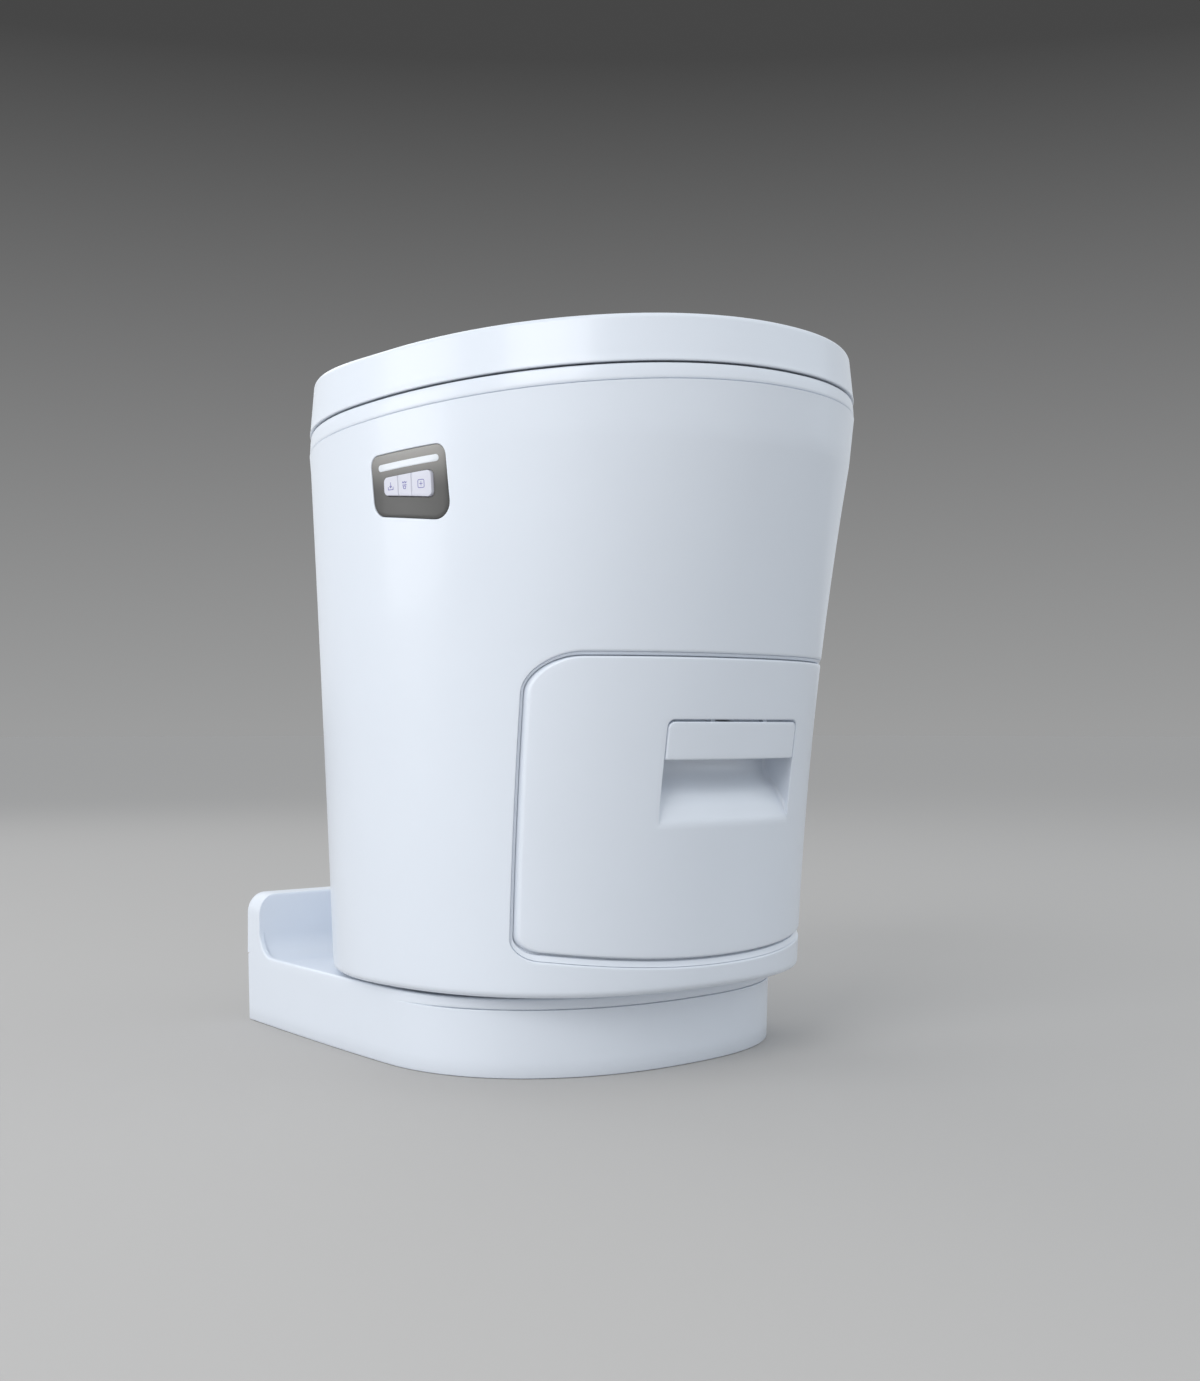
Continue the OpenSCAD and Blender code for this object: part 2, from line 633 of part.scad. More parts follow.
// Front edges of the buttons and the rear edge of the last one, in front of the swivel axis
button_edges = [71.3, 54.1, 41.4, 27.3];
button_corner_r = 3.5;
button_high_z = panel_top_at(-button_edges[0]) - button_drop;
button_rear_z = panel_top_at(-button_edges[3]) - button_drop;
button_corners = [[-button_edges[0], button_high_z - button_front_h],
    [-button_edges[3], button_rear_z - button_rear_h],
    [-button_edges[3], button_rear_z], [-button_edges[0], button_high_z]];
light_front = 77;
light_rear = 20;
light_corners = [for (q = [[light_front, -1], [light_rear, -1], [light_rear, 1], [light_front, 1]])
    [-q[0], panel_top_at(-q[0]) - light_drop + q[1] * light_h / 2]];
module side_prism(outline) { along_x(-body_half_w_top - reach, side_prism_x, outline); }
module panel_prism(gap) { side_prism(rounded_quad(panel_corners, panel_corner_r, gap)); }

edge_steps = 3;
floor_hole_gap = 1;
// Height of the part of the wall in which the rings turn from level to the fall of the top seam
top_wall_h = 20;
ledge_inset = front_t + 1;
ledge_t = 2.5;

// Return of the body wall behind the groove, with the ledge that the front panel closes against
module front_return() {
    low_z = front_bottom_z - 3 * groove_bottom_w;
    high_z = front_top_z + 5 * groove_w;
    difference() {
        intersection() {
            body_solid(low_z, high_z, shell_wall / 2);
            front_outline_prism(groove_w + ledge_t, groove_bottom_w + ledge_t);
        }
        body_solid(low_z - past, high_z + past, ledge_inset + ledge_t);
        difference() {
            front_outline_prism(groove_w, groove_bottom_w);
            body_solid(low_z - 2 * past, high_z + 2 * past, ledge_inset);
        }
        front_outline_prism(-ledge_w, -ledge_low_w);
    }
}

module body_shell() {
    span = body_top_z - top_wall_h - body_bottom_z - bottom_edge_r;
    outer = concat(
        [for (i = [0 : edge_steps]) let (a = 90 * i / edge_steps,
            z = body_bottom_z + bottom_edge_r * (1 - cos(a)))
            ring(body_plan(share(z), bottom_edge_r * (1 - sin(a))), z)],
        [for (j = [1 : wall_rings]) let (z = body_bottom_z + bottom_edge_r + span * j / wall_rings)
            ring(body_plan(share(z), 0), z)],
        [ring(top_plan(0), body_top_z, body_top_fall)]);
    inner = concat(
        [for (i = [0 : edge_steps]) let (a = 90 * i / edge_steps,
            z = body_bottom_z + shell_wall + (bottom_edge_r - shell_wall) * (1 - cos(a)))
            ring(body_plan(share(z), shell_wall + (bottom_edge_r - shell_wall) * (1 - sin(a))), z)],
        [for (j = [1 : wall_rings]) let (z = body_bottom_z + bottom_edge_r + span * j / wall_rings)
            ring(body_plan(share(z), shell_wall), z)],
        [ring(top_plan(shell_wall), body_top_z + past, body_top_fall)]);
    color(white_plastic) union() {
        difference() {
            loft(outer);
            loft(inner);
            rod_z(0, 0, turntable_r + floor_hole_gap, 0, pan_z);
            front_outline_prism(groove_w, groove_bottom_w);
            panel_prism(seat_gap);
        }
        front_return();
    }
}

frame_z = pan_z + pan_t + seat_gap;
frame_flange_w = 16;
module side_frame() {
    block([frame_half_w - frame_t, -frame_front, frame_z], [frame_half_w, frame_rear, seal_z - seat_gap]);
    block([frame_half_w - frame_flange_w, -frame_front, frame_z],
        [frame_half_w, frame_rear, frame_z + frame_t]);
}
module left_side_frame() { color(steel) mirror([1, 0, 0]) side_frame(); }
module right_side_frame() { color(steel) side_frame(); }

// Telescopic slides: each member runs inside the next one, from the frame in to the tray
slide_wall = 2;
slide_lap = 2.5;
outer_x1 = frame_half_w - frame_t - seat_gap;
inner_x0 = tray_half_w + seat_gap;
outer_x0 = inner_x0 + 2 * slide_lap;
middle_x0 = inner_x0 + slide_lap;
middle_x1 = outer_x1 - slide_wall - seat_gap;
inner_x1 = middle_x1 - slide_wall - seat_gap;
middle_h = slide_h - 2 * slide_wall - 2 * seat_gap;
inner_h = middle_h - 2 * slide_wall - 2 * seat_gap;

module channel(x0, x1, h) {
    difference() {
        block([x0, -frame_front, slide_z - h / 2], [x1, frame_rear, slide_z + h / 2]);
        block([x0 - past, -frame_front - past, slide_z - h / 2 + slide_wall],
            [x1 - slide_wall, frame_rear + past, slide_z + h / 2 - slide_wall]);
    }
}
module slide_outer_channels() { color(steel) both_sides() channel(outer_x0, outer_x1, slide_h); }
module slide_middle_channels() { color(steel) both_sides() channel(middle_x0, middle_x1, middle_h); }
module slide_inner_rails() {
    color(steel) both_sides()
        block([inner_x0, -frame_front, slide_z - inner_h / 2],
            [inner_x1, frame_rear, slide_z + inner_h / 2]);
}

panel_screw_inset = 10;
panel_screw_x = tray_half_w - tray_corner_r - panel_screw_inset;
panel_screw_z = tray_bottom_z + tray_h / 2;
panel_screw_r = 2;
panel_screw_head_r = 3.5;
panel_screw_head_h = 2.5;
panel_screw_l = 8;
rib_margin = 4;
rib_half_w = 5;
bin_gap = 1.5;

module drawer_tray() {
    color(inner_plastic) difference() {
        translate([0, 0, tray_bottom_z]) linear_extrude(tray_h)
            polygon(rounded(-tray_half_w, tray_half_w, -tray_front, frame_rear, tray_corner_r));
        translate([0, 0, tray_bottom_z + tray_wall]) linear_extrude(tray_h)
            polygon(rounded(-tray_half_w + tray_wall, tray_half_w - tray_wall, -tray_front + tray_wall,
                frame_rear - tray_wall, tray_corner_r - tray_wall));
        both_sides() rod_y(panel_screw_x, panel_screw_z, panel_screw_r + shaft_gap,
            -tray_front - past, -tray_front + tray_wall + past);
    }
}

bin_half_w = tray_half_w - tray_wall - bin_gap;
bin_front = tray_front - tray_wall - bin_gap - panel_screw_head_h;
bin_rear = frame_rear - tray_wall - bin_gap;
bin_corner_r = tray_corner_r - tray_wall - bin_gap;
bin_z = tray_bottom_z + tray_wall + seat_gap;
bin_wall = 2.5;
bin_rim = 1;
module waste_bin() {
    color(grey_plastic) difference() {
        union() {
            translate([0, 0, bin_z]) linear_extrude(bin_h)
                polygon(rounded(-bin_half_w, bin_half_w, -bin_front, bin_rear, bin_corner_r));
            translate([0, 0, bin_z + bin_h - 2 * bin_wall]) linear_extrude(2 * bin_wall)
                polygon(rounded(-bin_half_w - bin_rim, bin_half_w + bin_rim,
                    -bin_front - bin_rim, bin_rear + bin_rim, bin_corner_r + bin_rim));
        }
        translate([0, 0, bin_z + bin_wall]) linear_extrude(bin_h)
            polygon(rounded(-bin_half_w + bin_wall, bin_half_w - bin_wall, -bin_front + bin_wall,
                bin_rear - bin_wall, bin_corner_r - bin_wall));
    }
}

// Handle: the paddle turns on a pin just behind the front face, over a recess that slopes out to it
paddle_gap = 0.8;
paddle_top_gap = 1.9;
paddle_t = 3;
paddle_corner_r = 5;
pin_depth = 5.5;
pin_drop = 1.9;
pin_y = -body_front_at(paddle_top_z) + pin_depth;
pin_z = paddle_top_z - pin_drop;
barrel_r = paddle_pin_r + 1;
barrel_half_w = 24;
lug_gap = 0.5;
lug_r = 2.4;
lug_w = 4;
lug_front = 1;
lug_pocket_gap = 1.5;
front_margin = 10;
paddle_margin = 5;
pin_half_w = barrel_half_w + lug_gap + lug_w;
recess_half_w = paddle_half_w + paddle_gap;
recess_wall = 2.5;
recess_top_z = paddle_top_z + paddle_top_gap;
recess_floor_drop = 4;
recess_floor_rise = paddle_bottom_z - recess_bottom_z - recess_floor_drop;
arm_half_w = 8;
arm_reach = 19;
arm_y = pin_y + arm_reach;
arm_wall = 4;
catch_ledge_gap = 0.7;
arm_tip_z = front_top_z - ledge_w - catch_ledge_gap;
arm_slot = 2;
catch_l = 12;
catch_t = 2;
magnet_h = 6;
magnet_bracket_half_w = 14;
magnet_bracket_h = 14;
magnet_bracket_t = 2;
catch_front_y = arm_y - catch_l;
magnet_z = arm_tip_z + seat_gap;

// What stays behind the recess: the body drawn in by the depth of the recess at each height, and a wall more
module recess_core(wall) {
    steps = [[-30, -2], [0, 0], [0.35, 0.2], [0.7, 0.55], [1, 0.85], [1.25, 1]];
    loft(concat([for (q = steps) let (z = recess_bottom_z + (q[0] < 0 ? q[0] : q[0] * recess_floor_rise))
            ring(body_plan(share(z), (q[1] < 0 ? q[1] : q[1] * recess_depth) + wall), z)],
        [ring(body_plan(share(recess_top_z + 30), recess_depth + wall), recess_top_z + 30)]));
}
// Open space of the recess, or with its walls
module recess_space(wall, low_z) {
    difference() {
        along_y(-body_front_top, recess_prism_y,
            [[-recess_half_w - wall, low_z], [recess_half_w + wall, low_z],
            [recess_half_w + wall, recess_top_z + wall], [-recess_half_w - wall, recess_top_z + wall]]);
        recess_core(wall);
    }
}
module lug(r, side) {
    both_sides() {
        rod_x(pin_y, pin_z, r, barrel_half_w + lug_gap - side, pin_half_w + side);
        children();
    }
}

module front_panel() {
    color(white_plastic) difference() {
        union() {
            intersection() {
                difference() {
                    body_solid(front_bottom_z - front_margin, front_top_z + front_margin, 0);
                    body_solid(front_bottom_z - front_margin - past, front_top_z + front_margin + past,
                        front_t);
                }
                front_outline_prism(0, 0);
            }
            intersection() {
                body_solid(front_bottom_z - front_margin, front_top_z + front_margin, front_t / 2);
                union() {
                    recess_space(recess_wall, recess_bottom_z);
                    both_sides() block(
                        [panel_screw_x - rib_half_w, -body_front_top, tray_bottom_z + rib_margin],
                        [panel_screw_x + rib_half_w, -tray_front - seat_gap,
                            tray_bottom_z + tray_h - rib_margin]);
                }
            }
        }
        difference() {
            recess_space(0, recess_bottom_z - past);
            lug(lug_r, 0) block([barrel_half_w + lug_gap, pin_y - lug_front, pin_z],
                [pin_half_w, pin_y + lug_r, recess_top_z + past]);
        }
        rod_x(pin_y, pin_z, paddle_pin_r, -pin_half_w - past, pin_half_w + past);
        both_sides() rod_y(panel_screw_x, panel_screw_z, panel_screw_r - 2 * shaft_gap,
            -tray_front - panel_screw_l - 2, -tray_front);
        // slot that the paddle's arm swings in
        block([-arm_half_w - arm_slot, arm_y - arm_wall - arm_slot, recess_top_z - past],
            [arm_half_w + arm_slot, arm_y + 3 * arm_slot, recess_top_z + recess_wall + past]);
    }
}

module front_panel_screws() {
    color(steel) both_sides() {
        rod_y(panel_screw_x, panel_screw_z, panel_screw_r - 3 * shaft_gap,
            -tray_front - panel_screw_l, -tray_front + tray_wall + shaft_gap);
        rod_y(panel_screw_x, panel_screw_z, panel_screw_head_r, -tray_front + tray_wall + shaft_gap,
            -tray_front + tray_wall + panel_screw_head_h);
    }
}

module latch_paddle() {
    color(white_plastic) difference() {
        union() {
            intersection() {
                difference() {
                    body_solid(paddle_bottom_z - paddle_margin, paddle_top_z + paddle_margin, 0, 1);
                    body_solid(paddle_bottom_z - paddle_margin - past, paddle_top_z + paddle_margin + past,
                        paddle_t, 1);
                }
                along_y(-body_front_top, recess_prism_y,
                    rounded(-paddle_half_w, paddle_half_w, paddle_bottom_z, paddle_top_z, paddle_corner_r));
            }
            rod_x(pin_y, pin_z, barrel_r, -barrel_half_w, barrel_half_w);
            // arm that reaches back and up to the catch
            block([-arm_half_w, pin_y, pin_z - barrel_r], [arm_half_w, arm_y, pin_z - barrel_r + arm_wall]);
            block([-arm_half_w, arm_y - arm_wall, pin_z - barrel_r],
                [arm_half_w, arm_y, arm_tip_z - catch_t]);
            block([-arm_half_w, catch_front_y, arm_tip_z - catch_t - arm_wall],
                [arm_half_w, arm_y, arm_tip_z - catch_t]);
        }
        rod_x(pin_y, pin_z, paddle_pin_r + shaft_gap, -barrel_half_w - past, barrel_half_w + past);
        lug(lug_r + seat_gap, seat_gap) block([barrel_half_w, pin_y - lug_front - lug_pocket_gap, pin_z],
            [pin_half_w + lug_gap, pin_y + lug_r, recess_top_z]);
    }
}

module paddle_pin() {
    color(steel) rod_x(pin_y, pin_z, paddle_pin_r - shaft_gap / 5, -pin_half_w, pin_half_w);
}

// Catch: a magnet holds a steel plate on the paddle's arm, which peels off when the paddle is pulled
module catch_plate() {
    color(steel) block([-arm_half_w, catch_front_y, arm_tip_z - catch_t], [arm_half_w, arm_y, arm_tip_z]);
}
module catch_magnet() {
    color(dark_plastic) block([-arm_half_w, catch_front_y, magnet_z],
        [arm_half_w, arm_y, magnet_z + magnet_h]);
}
magnet_bracket_z = magnet_z + magnet_h + shaft_gap;
magnet_bracket_front_y = -body_front_at(magnet_bracket_z) + ledge_inset + ledge_t + 2 * seat_gap;
module magnet_bracket() {
    color(steel) {
        block([-magnet_bracket_half_w, magnet_bracket_front_y, magnet_bracket_z],
            [magnet_bracket_half_w, arm_y, magnet_bracket_z + magnet_bracket_t]);
        block([-magnet_bracket_half_w, magnet_bracket_front_y, magnet_bracket_z],
            [magnet_bracket_half_w, magnet_bracket_front_y + magnet_bracket_t,
                magnet_bracket_z + magnet_bracket_h]);
    }
}

// Sealing unit: an open frame, two guide rods and a lead screw that close two jaws under the throat
frame_side_gap = 2;
seal_half_w = frame_half_w - seal_wall - frame_side_gap;
jaw_side_gap = 8;
jaw_half_w = seal_half_w - jaw_side_gap;
guide_x = jaw_half_w - guide_inset;
screw_x = guide_x - screw_pitch;
heater_t = 1.5;
pad_t = 2;
jaw_mid_y = -throat_front;
jaw_rest_gap = 0.25;
front_jaw_face = jaw_mid_y - jaw_travel - heater_t - jaw_rest_gap;
rear_jaw_face = jaw_mid_y + jaw_travel + pad_t + jaw_rest_gap;
jaw_end_gap = 12;
seal_front_y = front_jaw_face - jaw_t - jaw_end_gap - seal_wall;
seal_rear_y = rear_jaw_face + jaw_t + jaw_end_gap + seal_wall;
jaw_z = seal_z + (seal_h - jaw_h) / 2;
rod_mid_z = seal_z + seal_h / 2;
screw_side_gap = 8;
seal_face_half_w = screw_x - screw_r - screw_side_gap;
seal_top_t = 3;
screw_seat_l = 2;
screw_in_motor_l = 10;
throat_lip_w = 9;
throat_hole_r = throat_r + 1;

module seal_frame() {
    color(inner_plastic) difference() {
        block([-seal_half_w - seal_wall, seal_front_y, seal_z],
            [seal_half_w + seal_wall, seal_rear_y, seal_z + seal_h]);
        block([-seal_half_w, seal_front_y + seal_wall, seal_z - past],
            [seal_half_w, seal_rear_y - seal_wall, seal_z + seal_h - seal_top_t]);
        translate([0, 0, seal_z + seal_h - seal_top_t - past]) linear_extrude(seal_top_t + 2 * past)
            polygon(oval(throat_hole_r, throat_hole_r, -throat_front));
        both_sides() rod_y(guide_x, rod_mid_z, guide_r, seal_front_y - past, seal_rear_y + past);
        rod_y(screw_x, rod_mid_z, screw_r + shaft_gap, seal_front_y + seal_wall - screw_seat_l,
            seal_rear_y + past);
    }
}

module guide_rods() {
    color(steel) both_sides() rod_y(guide_x, rod_mid_z, guide_r - shaft_gap / 5, seal_front_y, seal_rear_y);
}

screw_motor_end = seal_rear_y + seat_gap + screw_in_motor_l;
module lead_screw() {
    color(steel) rod_y(screw_x, rod_mid_z, screw_r,
        seal_front_y + seal_wall - screw_seat_l + seat_gap, screw_motor_end);
}

module jaw(y0, y1) {
    difference() {
        block([-jaw_half_w, y0, jaw_z], [jaw_half_w, y1, jaw_z + jaw_h]);
        both_sides() rod_y(guide_x, rod_mid_z, guide_r + shaft_gap, y0 - past, y1 + past);
        rod_y(screw_x, rod_mid_z, screw_r + shaft_gap, y0 - past, y1 + past);
    }
}
module front_jaw() { color(steel) jaw(front_jaw_face - jaw_t, front_jaw_face); }
module rear_jaw() { color(steel) jaw(rear_jaw_face, rear_jaw_face + jaw_t); }
strip_h = 10;
module heater_strip() {
    color(rubber) block([-seal_face_half_w, front_jaw_face, rod_mid_z - strip_h / 2],
        [seal_face_half_w, front_jaw_face + heater_t, rod_mid_z + strip_h / 2]);
}
module seal_pad() {
    color(rubber) block([-seal_face_half_w, rear_jaw_face - pad_t, rod_mid_z - strip_h / 2],
        [seal_face_half_w, rear_jaw_face, rod_mid_z + strip_h / 2]);
}

gearbox_l = 20;
gearbox_step = 3;
module gear_motor() {
    y0 = seal_rear_y + seat_gap;
    color(dark_plastic) difference() {
        union() {
            rod_y(screw_x, rod_mid_z, motor_r, y0, y0 + gearbox_l);
            rod_y(screw_x, rod_mid_z, motor_r - gearbox_step, y0, y0 + motor_l);
        }
        rod_y(screw_x, rod_mid_z, screw_r + shaft_gap, y0 - past, y0 + screw_in_motor_l + past);
    }
}

unit_half_w = 62;
unit_h = 105;
unit_rear = 148;
unit_gap = 12;
vent_count = 7;
vent_pitch = 16;
vent_w = 8;
vent_depth = 2;
vent_margin = 6;
module control_unit() {
    color(dark_plastic) difference() {
        block([-unit_half_w, frame_rear + unit_gap, frame_z], [unit_half_w, unit_rear, frame_z + unit_h]);
        for (i = [0 : vent_count - 1]) let (x = vent_pitch * (i - (vent_count - 1) / 2))
            block([x - vent_w / 2, frame_rear + unit_gap + vent_margin, frame_z + unit_h - vent_depth],
                [x + vent_w / 2, unit_rear - vent_margin, frame_z + unit_h + past]);
    }
}

// Bowl: an oval mouth under the deck that narrows to the round throat, with a shelf for the cassette
mouth_z = deck_top_z - deck_plate_t - seat_gap;
bowl_low_z = seal_z + seal_h + seat_gap;
throat_h = 14;
throat_z = bowl_low_z + throat_h;
throat_lip_t = 3;
bowl_curve = 0.75;
shelf_t = 2.5;
cassette_top_gap = 2.2;
shelf_z = mouth_z - cassette_top_gap - cassette_h - seat_gap - shelf_t;
bowl_side_gap = 3;
cassette_in_w = bowl_half_w + bowl_side_gap;
cassette_in_l = bowl_half_l + bowl_side_gap;
cassette_out = film_channel_w + 2 * cassette_wall;

// One ring of the bowl at a share of the way from the throat to the mouth, drawn in by an inset
function bowl_oval(f, inset) = let (w = pow(f, bowl_curve))
    oval(between(throat_r, bowl_half_w, w) - inset, between(throat_r, bowl_half_l, w) - inset,
        between(-throat_front, -seat_hole_front, w));
function bowl_share(z) = (z - throat_z) / (mouth_z - throat_z);
shelf_low_f = bowl_share(shelf_z);
shelf_high_f = bowl_share(shelf_z + shelf_t);
function bowl_lower(inset) = [for (j = [0 : 3]) let (f = shelf_low_f * j / 4)
    ring(bowl_oval(f, inset), between(throat_z, mouth_z, f), deck_fall * f)];
function bowl_upper(inset) = [for (j = [1 : 3]) let (f = between(shelf_high_f, 1, j / 3))
    ring(bowl_oval(f, inset), between(throat_z, mouth_z, f), deck_fall)];
function round_ring(r, z) = ring(oval(r, r, -throat_front), z);
module bowl() {
    shelf = oval(cassette_in_w + cassette_out, cassette_in_l + cassette_out, -seat_hole_front);
    color(inner_plastic) difference() {
        loft(concat(
            [round_ring(throat_r + throat_lip_w, bowl_low_z),
                round_ring(throat_r + throat_lip_w, bowl_low_z + throat_lip_t),
                round_ring(throat_r, bowl_low_z + throat_lip_t)],
            bowl_lower(0),
            [ring(bowl_oval(shelf_low_f, 0), shelf_z, deck_fall),
                ring(shelf, shelf_z, deck_fall),
                ring(shelf, shelf_z + shelf_t, deck_fall),
                ring(bowl_oval(shelf_high_f, 0), shelf_z + shelf_t, deck_fall)],
            bowl_upper(0)));
        loft(concat(
            [round_ring(throat_r - bowl_wall, bowl_low_z - past)],
            bowl_lower(bowl_wall),
            [ring(bowl_oval(shelf_low_f, bowl_wall), shelf_z, deck_fall),
                ring(bowl_oval(shelf_high_f, bowl_wall), shelf_z + shelf_t, deck_fall)],
            bowl_upper(bowl_wall),
            [ring(bowl_oval(1, bowl_wall), mouth_z + past, deck_fall)]));
    }
}

// Ring solid between two insets of the cassette's channel
module cassette_ring(z0, z1, inner, outer) {
    difference() {
        loft([for (z = [z0, z1])
            ring(oval(cassette_in_w + outer, cassette_in_l + outer, -seat_hole_front), z, deck_fall)]);
        loft([for (z = [z0 - past, z1 + past])
            ring(oval(cassette_in_w + inner, cassette_in_l + inner, -seat_hole_front), z, deck_fall)]);
    }
}
cassette_z = shelf_z + shelf_t + seat_gap;
cassette_cover_t = 2;
module film_cassette() {
    color(dark_plastic) difference() {
        cassette_ring(cassette_z, cassette_z + cassette_h - cassette_cover_t - seat_gap, 0, cassette_out);
        cassette_ring(cassette_z + cassette_wall, cassette_z + cassette_h + past, cassette_wall,
            cassette_out - cassette_wall);
    }
}
module film_pack() {
    color([0.85, 0.88, 0.92]) cassette_ring(cassette_z + cassette_wall + seat_gap,
        cassette_z + cassette_h - cassette_cover_t - 2 * seat_gap - 2,
        cassette_wall + 2 * seat_gap, cassette_out - cassette_wall - 2 * seat_gap);
}
module cassette_cover() {
    color(dark_plastic) cassette_ring(cassette_z + cassette_h - cassette_cover_t, cassette_z + cassette_h,
        2.5 * cassette_wall, cassette_out);
}

// Deck: the bevelled band and plate that close the body's top round the bowl
seam_gap = 0.4;
lip_inset = shell_wall + 2 * seat_gap;
lip_t = 2.5;
lip_draft = 0.2;
deck_edge_t = 7;
seam_z = body_top_z + seam_gap;
function deck_band_ring(inset, f) = ring(top_plan(inset), between(seam_z, deck_top_z, f),
    between(body_top_fall, deck_fall, f));
module deck() {
    color(white_plastic) difference() {
        union() {
            loft([
                ring(top_plan(1), seam_z, body_top_fall),
                ring(top_plan(0.3), seam_z + 1, body_top_fall),
                deck_band_ring(0.4, 0.35),
                deck_band_ring(0.7, 0.7),
                deck_band_ring(0.55 * deck_bevel, 0.92),
                ring(top_plan(deck_bevel), deck_top_z, deck_fall)]);
            loft([ring(top_plan(lip_inset + deck_lip_h * lip_draft), body_top_z - deck_lip_h, body_top_fall),
                ring(top_plan(lip_inset - 2 * lip_draft), body_top_z + 2, body_top_fall)]);
        }
        loft([ring(top_plan(lip_inset + lip_t + (deck_lip_h + past) * lip_draft),
                body_top_z - deck_lip_h - past, body_top_fall),
            ring(top_plan(lip_inset + lip_t), body_top_z, body_top_fall),
            ring(top_plan(deck_edge_t + 1), deck_top_z - deck_plate_t, deck_fall)]);
        loft([for (z = [deck_top_z - 2 * deck_plate_t, deck_top_z + past])
            ring(oval(bowl_half_w - bowl_wall, bowl_half_l - bowl_wall, -seat_hole_front), z, deck_fall)]);
    }
}

// Hinge at the rear: on each side two ears on the deck, with a seat knuckle and a lid knuckle between them
function deck_top_at(y) = deck_top_z - deck_fall * y;
function knuckle_at(i) = knuckle_x + i * (knuckle_w + knuckle_gap);
ear_l = 19;
ear_rise = 2;
ear_front_y = hinge_y - ear_l;
ear_foot_z = deck_top_at(ear_front_y) + seat_gap;
hinge_half_w = knuckle_at(3) + knuckle_w;
module knuckle(i, bore) {
    difference() {
        union() {
            rod_x(hinge_y, hinge_z, knuckle_r, knuckle_at(i), knuckle_at(i) + knuckle_w);
            children();
        }
        rod_x(hinge_y, hinge_z, bore, knuckle_at(i) - past, knuckle_at(i) + knuckle_w + past);
    }
}
module hinge_brackets() {
    color(white_plastic) both_sides() for (i = [0, 3]) knuckle(i, hinge_pin_r)
        block([knuckle_at(i), ear_front_y, ear_foot_z],
            [knuckle_at(i) + knuckle_w, hinge_y, hinge_z + ear_rise]);
}
module hinge_pins() {
    color(steel) both_sides()
        rod_x(hinge_y, hinge_z, hinge_pin_r - shaft_gap / 5, knuckle_at(0), hinge_half_w);
}

// Seat: a crowned ring with an oval opening, on buffers, with two arms that reach back to the hinge
seat_low_z = deck_top_z + seat_buffer_h + 2 * seat_gap;
seat_inset = lid_wall + seat_lid_gap;
seat_arm_t = 6;
seat_arm_l = 22;
seat_arm_lap = 12;
seat_arm_drop = 1.5;
seat_rear_cut_y = hinge_y - seat_arm_l;
function seat_hole_ring(grow, up) = ring(
    oval(seat_hole_half_w + grow, seat_hole_half_l + grow, -seat_hole_front), seat_low_z + up, deck_fall);
module seat() {
    color(white_plastic) union() {
        difference() {
            loft([
                ring(top_plan(seat_inset + 2), seat_low_z, deck_fall),
                ring(top_plan(seat_inset), seat_low_z + 3, deck_fall),
                ring(top_plan(seat_inset), seat_low_z + seat_t * 0.55, deck_fall),
                ring(top_plan(seat_inset + 3), seat_low_z + seat_t * 0.88, deck_fall),
                ring(top_plan(seat_inset + 11), seat_low_z + seat_t, deck_fall)]);
            loft([seat_hole_ring(0, -past), seat_hole_ring(0, seat_t * 0.5),
                seat_hole_ring(4, seat_t * 0.88), seat_hole_ring(12, seat_t + 0.1)]);
            block([-body_half_w_top, seat_rear_cut_y, 0],
                [body_half_w_top, body_rear_top, deck_top_z + 2 * seat_t]);
        }
        both_sides() knuckle(1, hinge_pin_r + shaft_gap)
            block([knuckle_at(1), seat_rear_cut_y - seat_arm_lap, hinge_z - seat_arm_drop],
                [knuckle_at(1) + knuckle_w, hinge_y, hinge_z - seat_arm_drop + seat_arm_t]);
    }
}

buffer_x = 128;
buffer_y = [-95, 60];
module seat_buffers() {
    color(rubber) for (x = [-buffer_x, buffer_x], y = buffer_y)
        rod_z(x, y, buffer_r, deck_top_at(y - buffer_r) + seat_gap,
            deck_top_at(y + buffer_r) + seat_buffer_h + seat_gap);
}

// Lid: a shallow cap over the seat, with a notch in its rear wall for the hinge
lid_rim_z = deck_top_z + lid_gap;
lid_top_fall = deck_fall - 0.004;
lid_notch_z = hinge_z + knuckle_r + 2;
lid_notch_gap = 4;
lid_rib_l = 7;
lid_steps = 4;
function lid_edge(inset, top_z, r) = [for (i = [0 : lid_steps]) let (a = 90 * i / lid_steps)
    ring(top_plan(inset + r * (1 - cos(a))), top_z - r * (1 - sin(a)), lid_top_fall)];
module lid() {
    inner_r = max(lid_edge_r - lid_wall, 0.5);
    color(white_plastic) union() {
        difference() {
            loft(concat(
                [ring(top_plan(1), lid_rim_z, deck_fall), ring(top_plan(0.35), lid_rim_z + 0.8, deck_fall),
                    ring(top_plan(0.4), lid_rim_z + 2.6, deck_fall)],
                lid_edge(lid_lean, lid_rim_z + lid_h, lid_edge_r)));
            loft(concat([ring(top_plan(lid_wall), lid_rim_z - past, deck_fall)],
                lid_edge(lid_wall + lid_lean, lid_rim_z + lid_h - lid_wall, inner_r)));
            block([-hinge_half_w - lid_notch_gap, hinge_y - ear_l - 1, 0],
                [hinge_half_w + lid_notch_gap, body_rear_top + reach, lid_notch_z]);
        }
        both_sides() knuckle(2, hinge_pin_r + shaft_gap)
            block([knuckle_at(2), hinge_y - lid_rib_l, hinge_z],
                [knuckle_at(2) + knuckle_w, hinge_y - 0.5, lid_under_at(hinge_y) + 0.5]);
    }
}

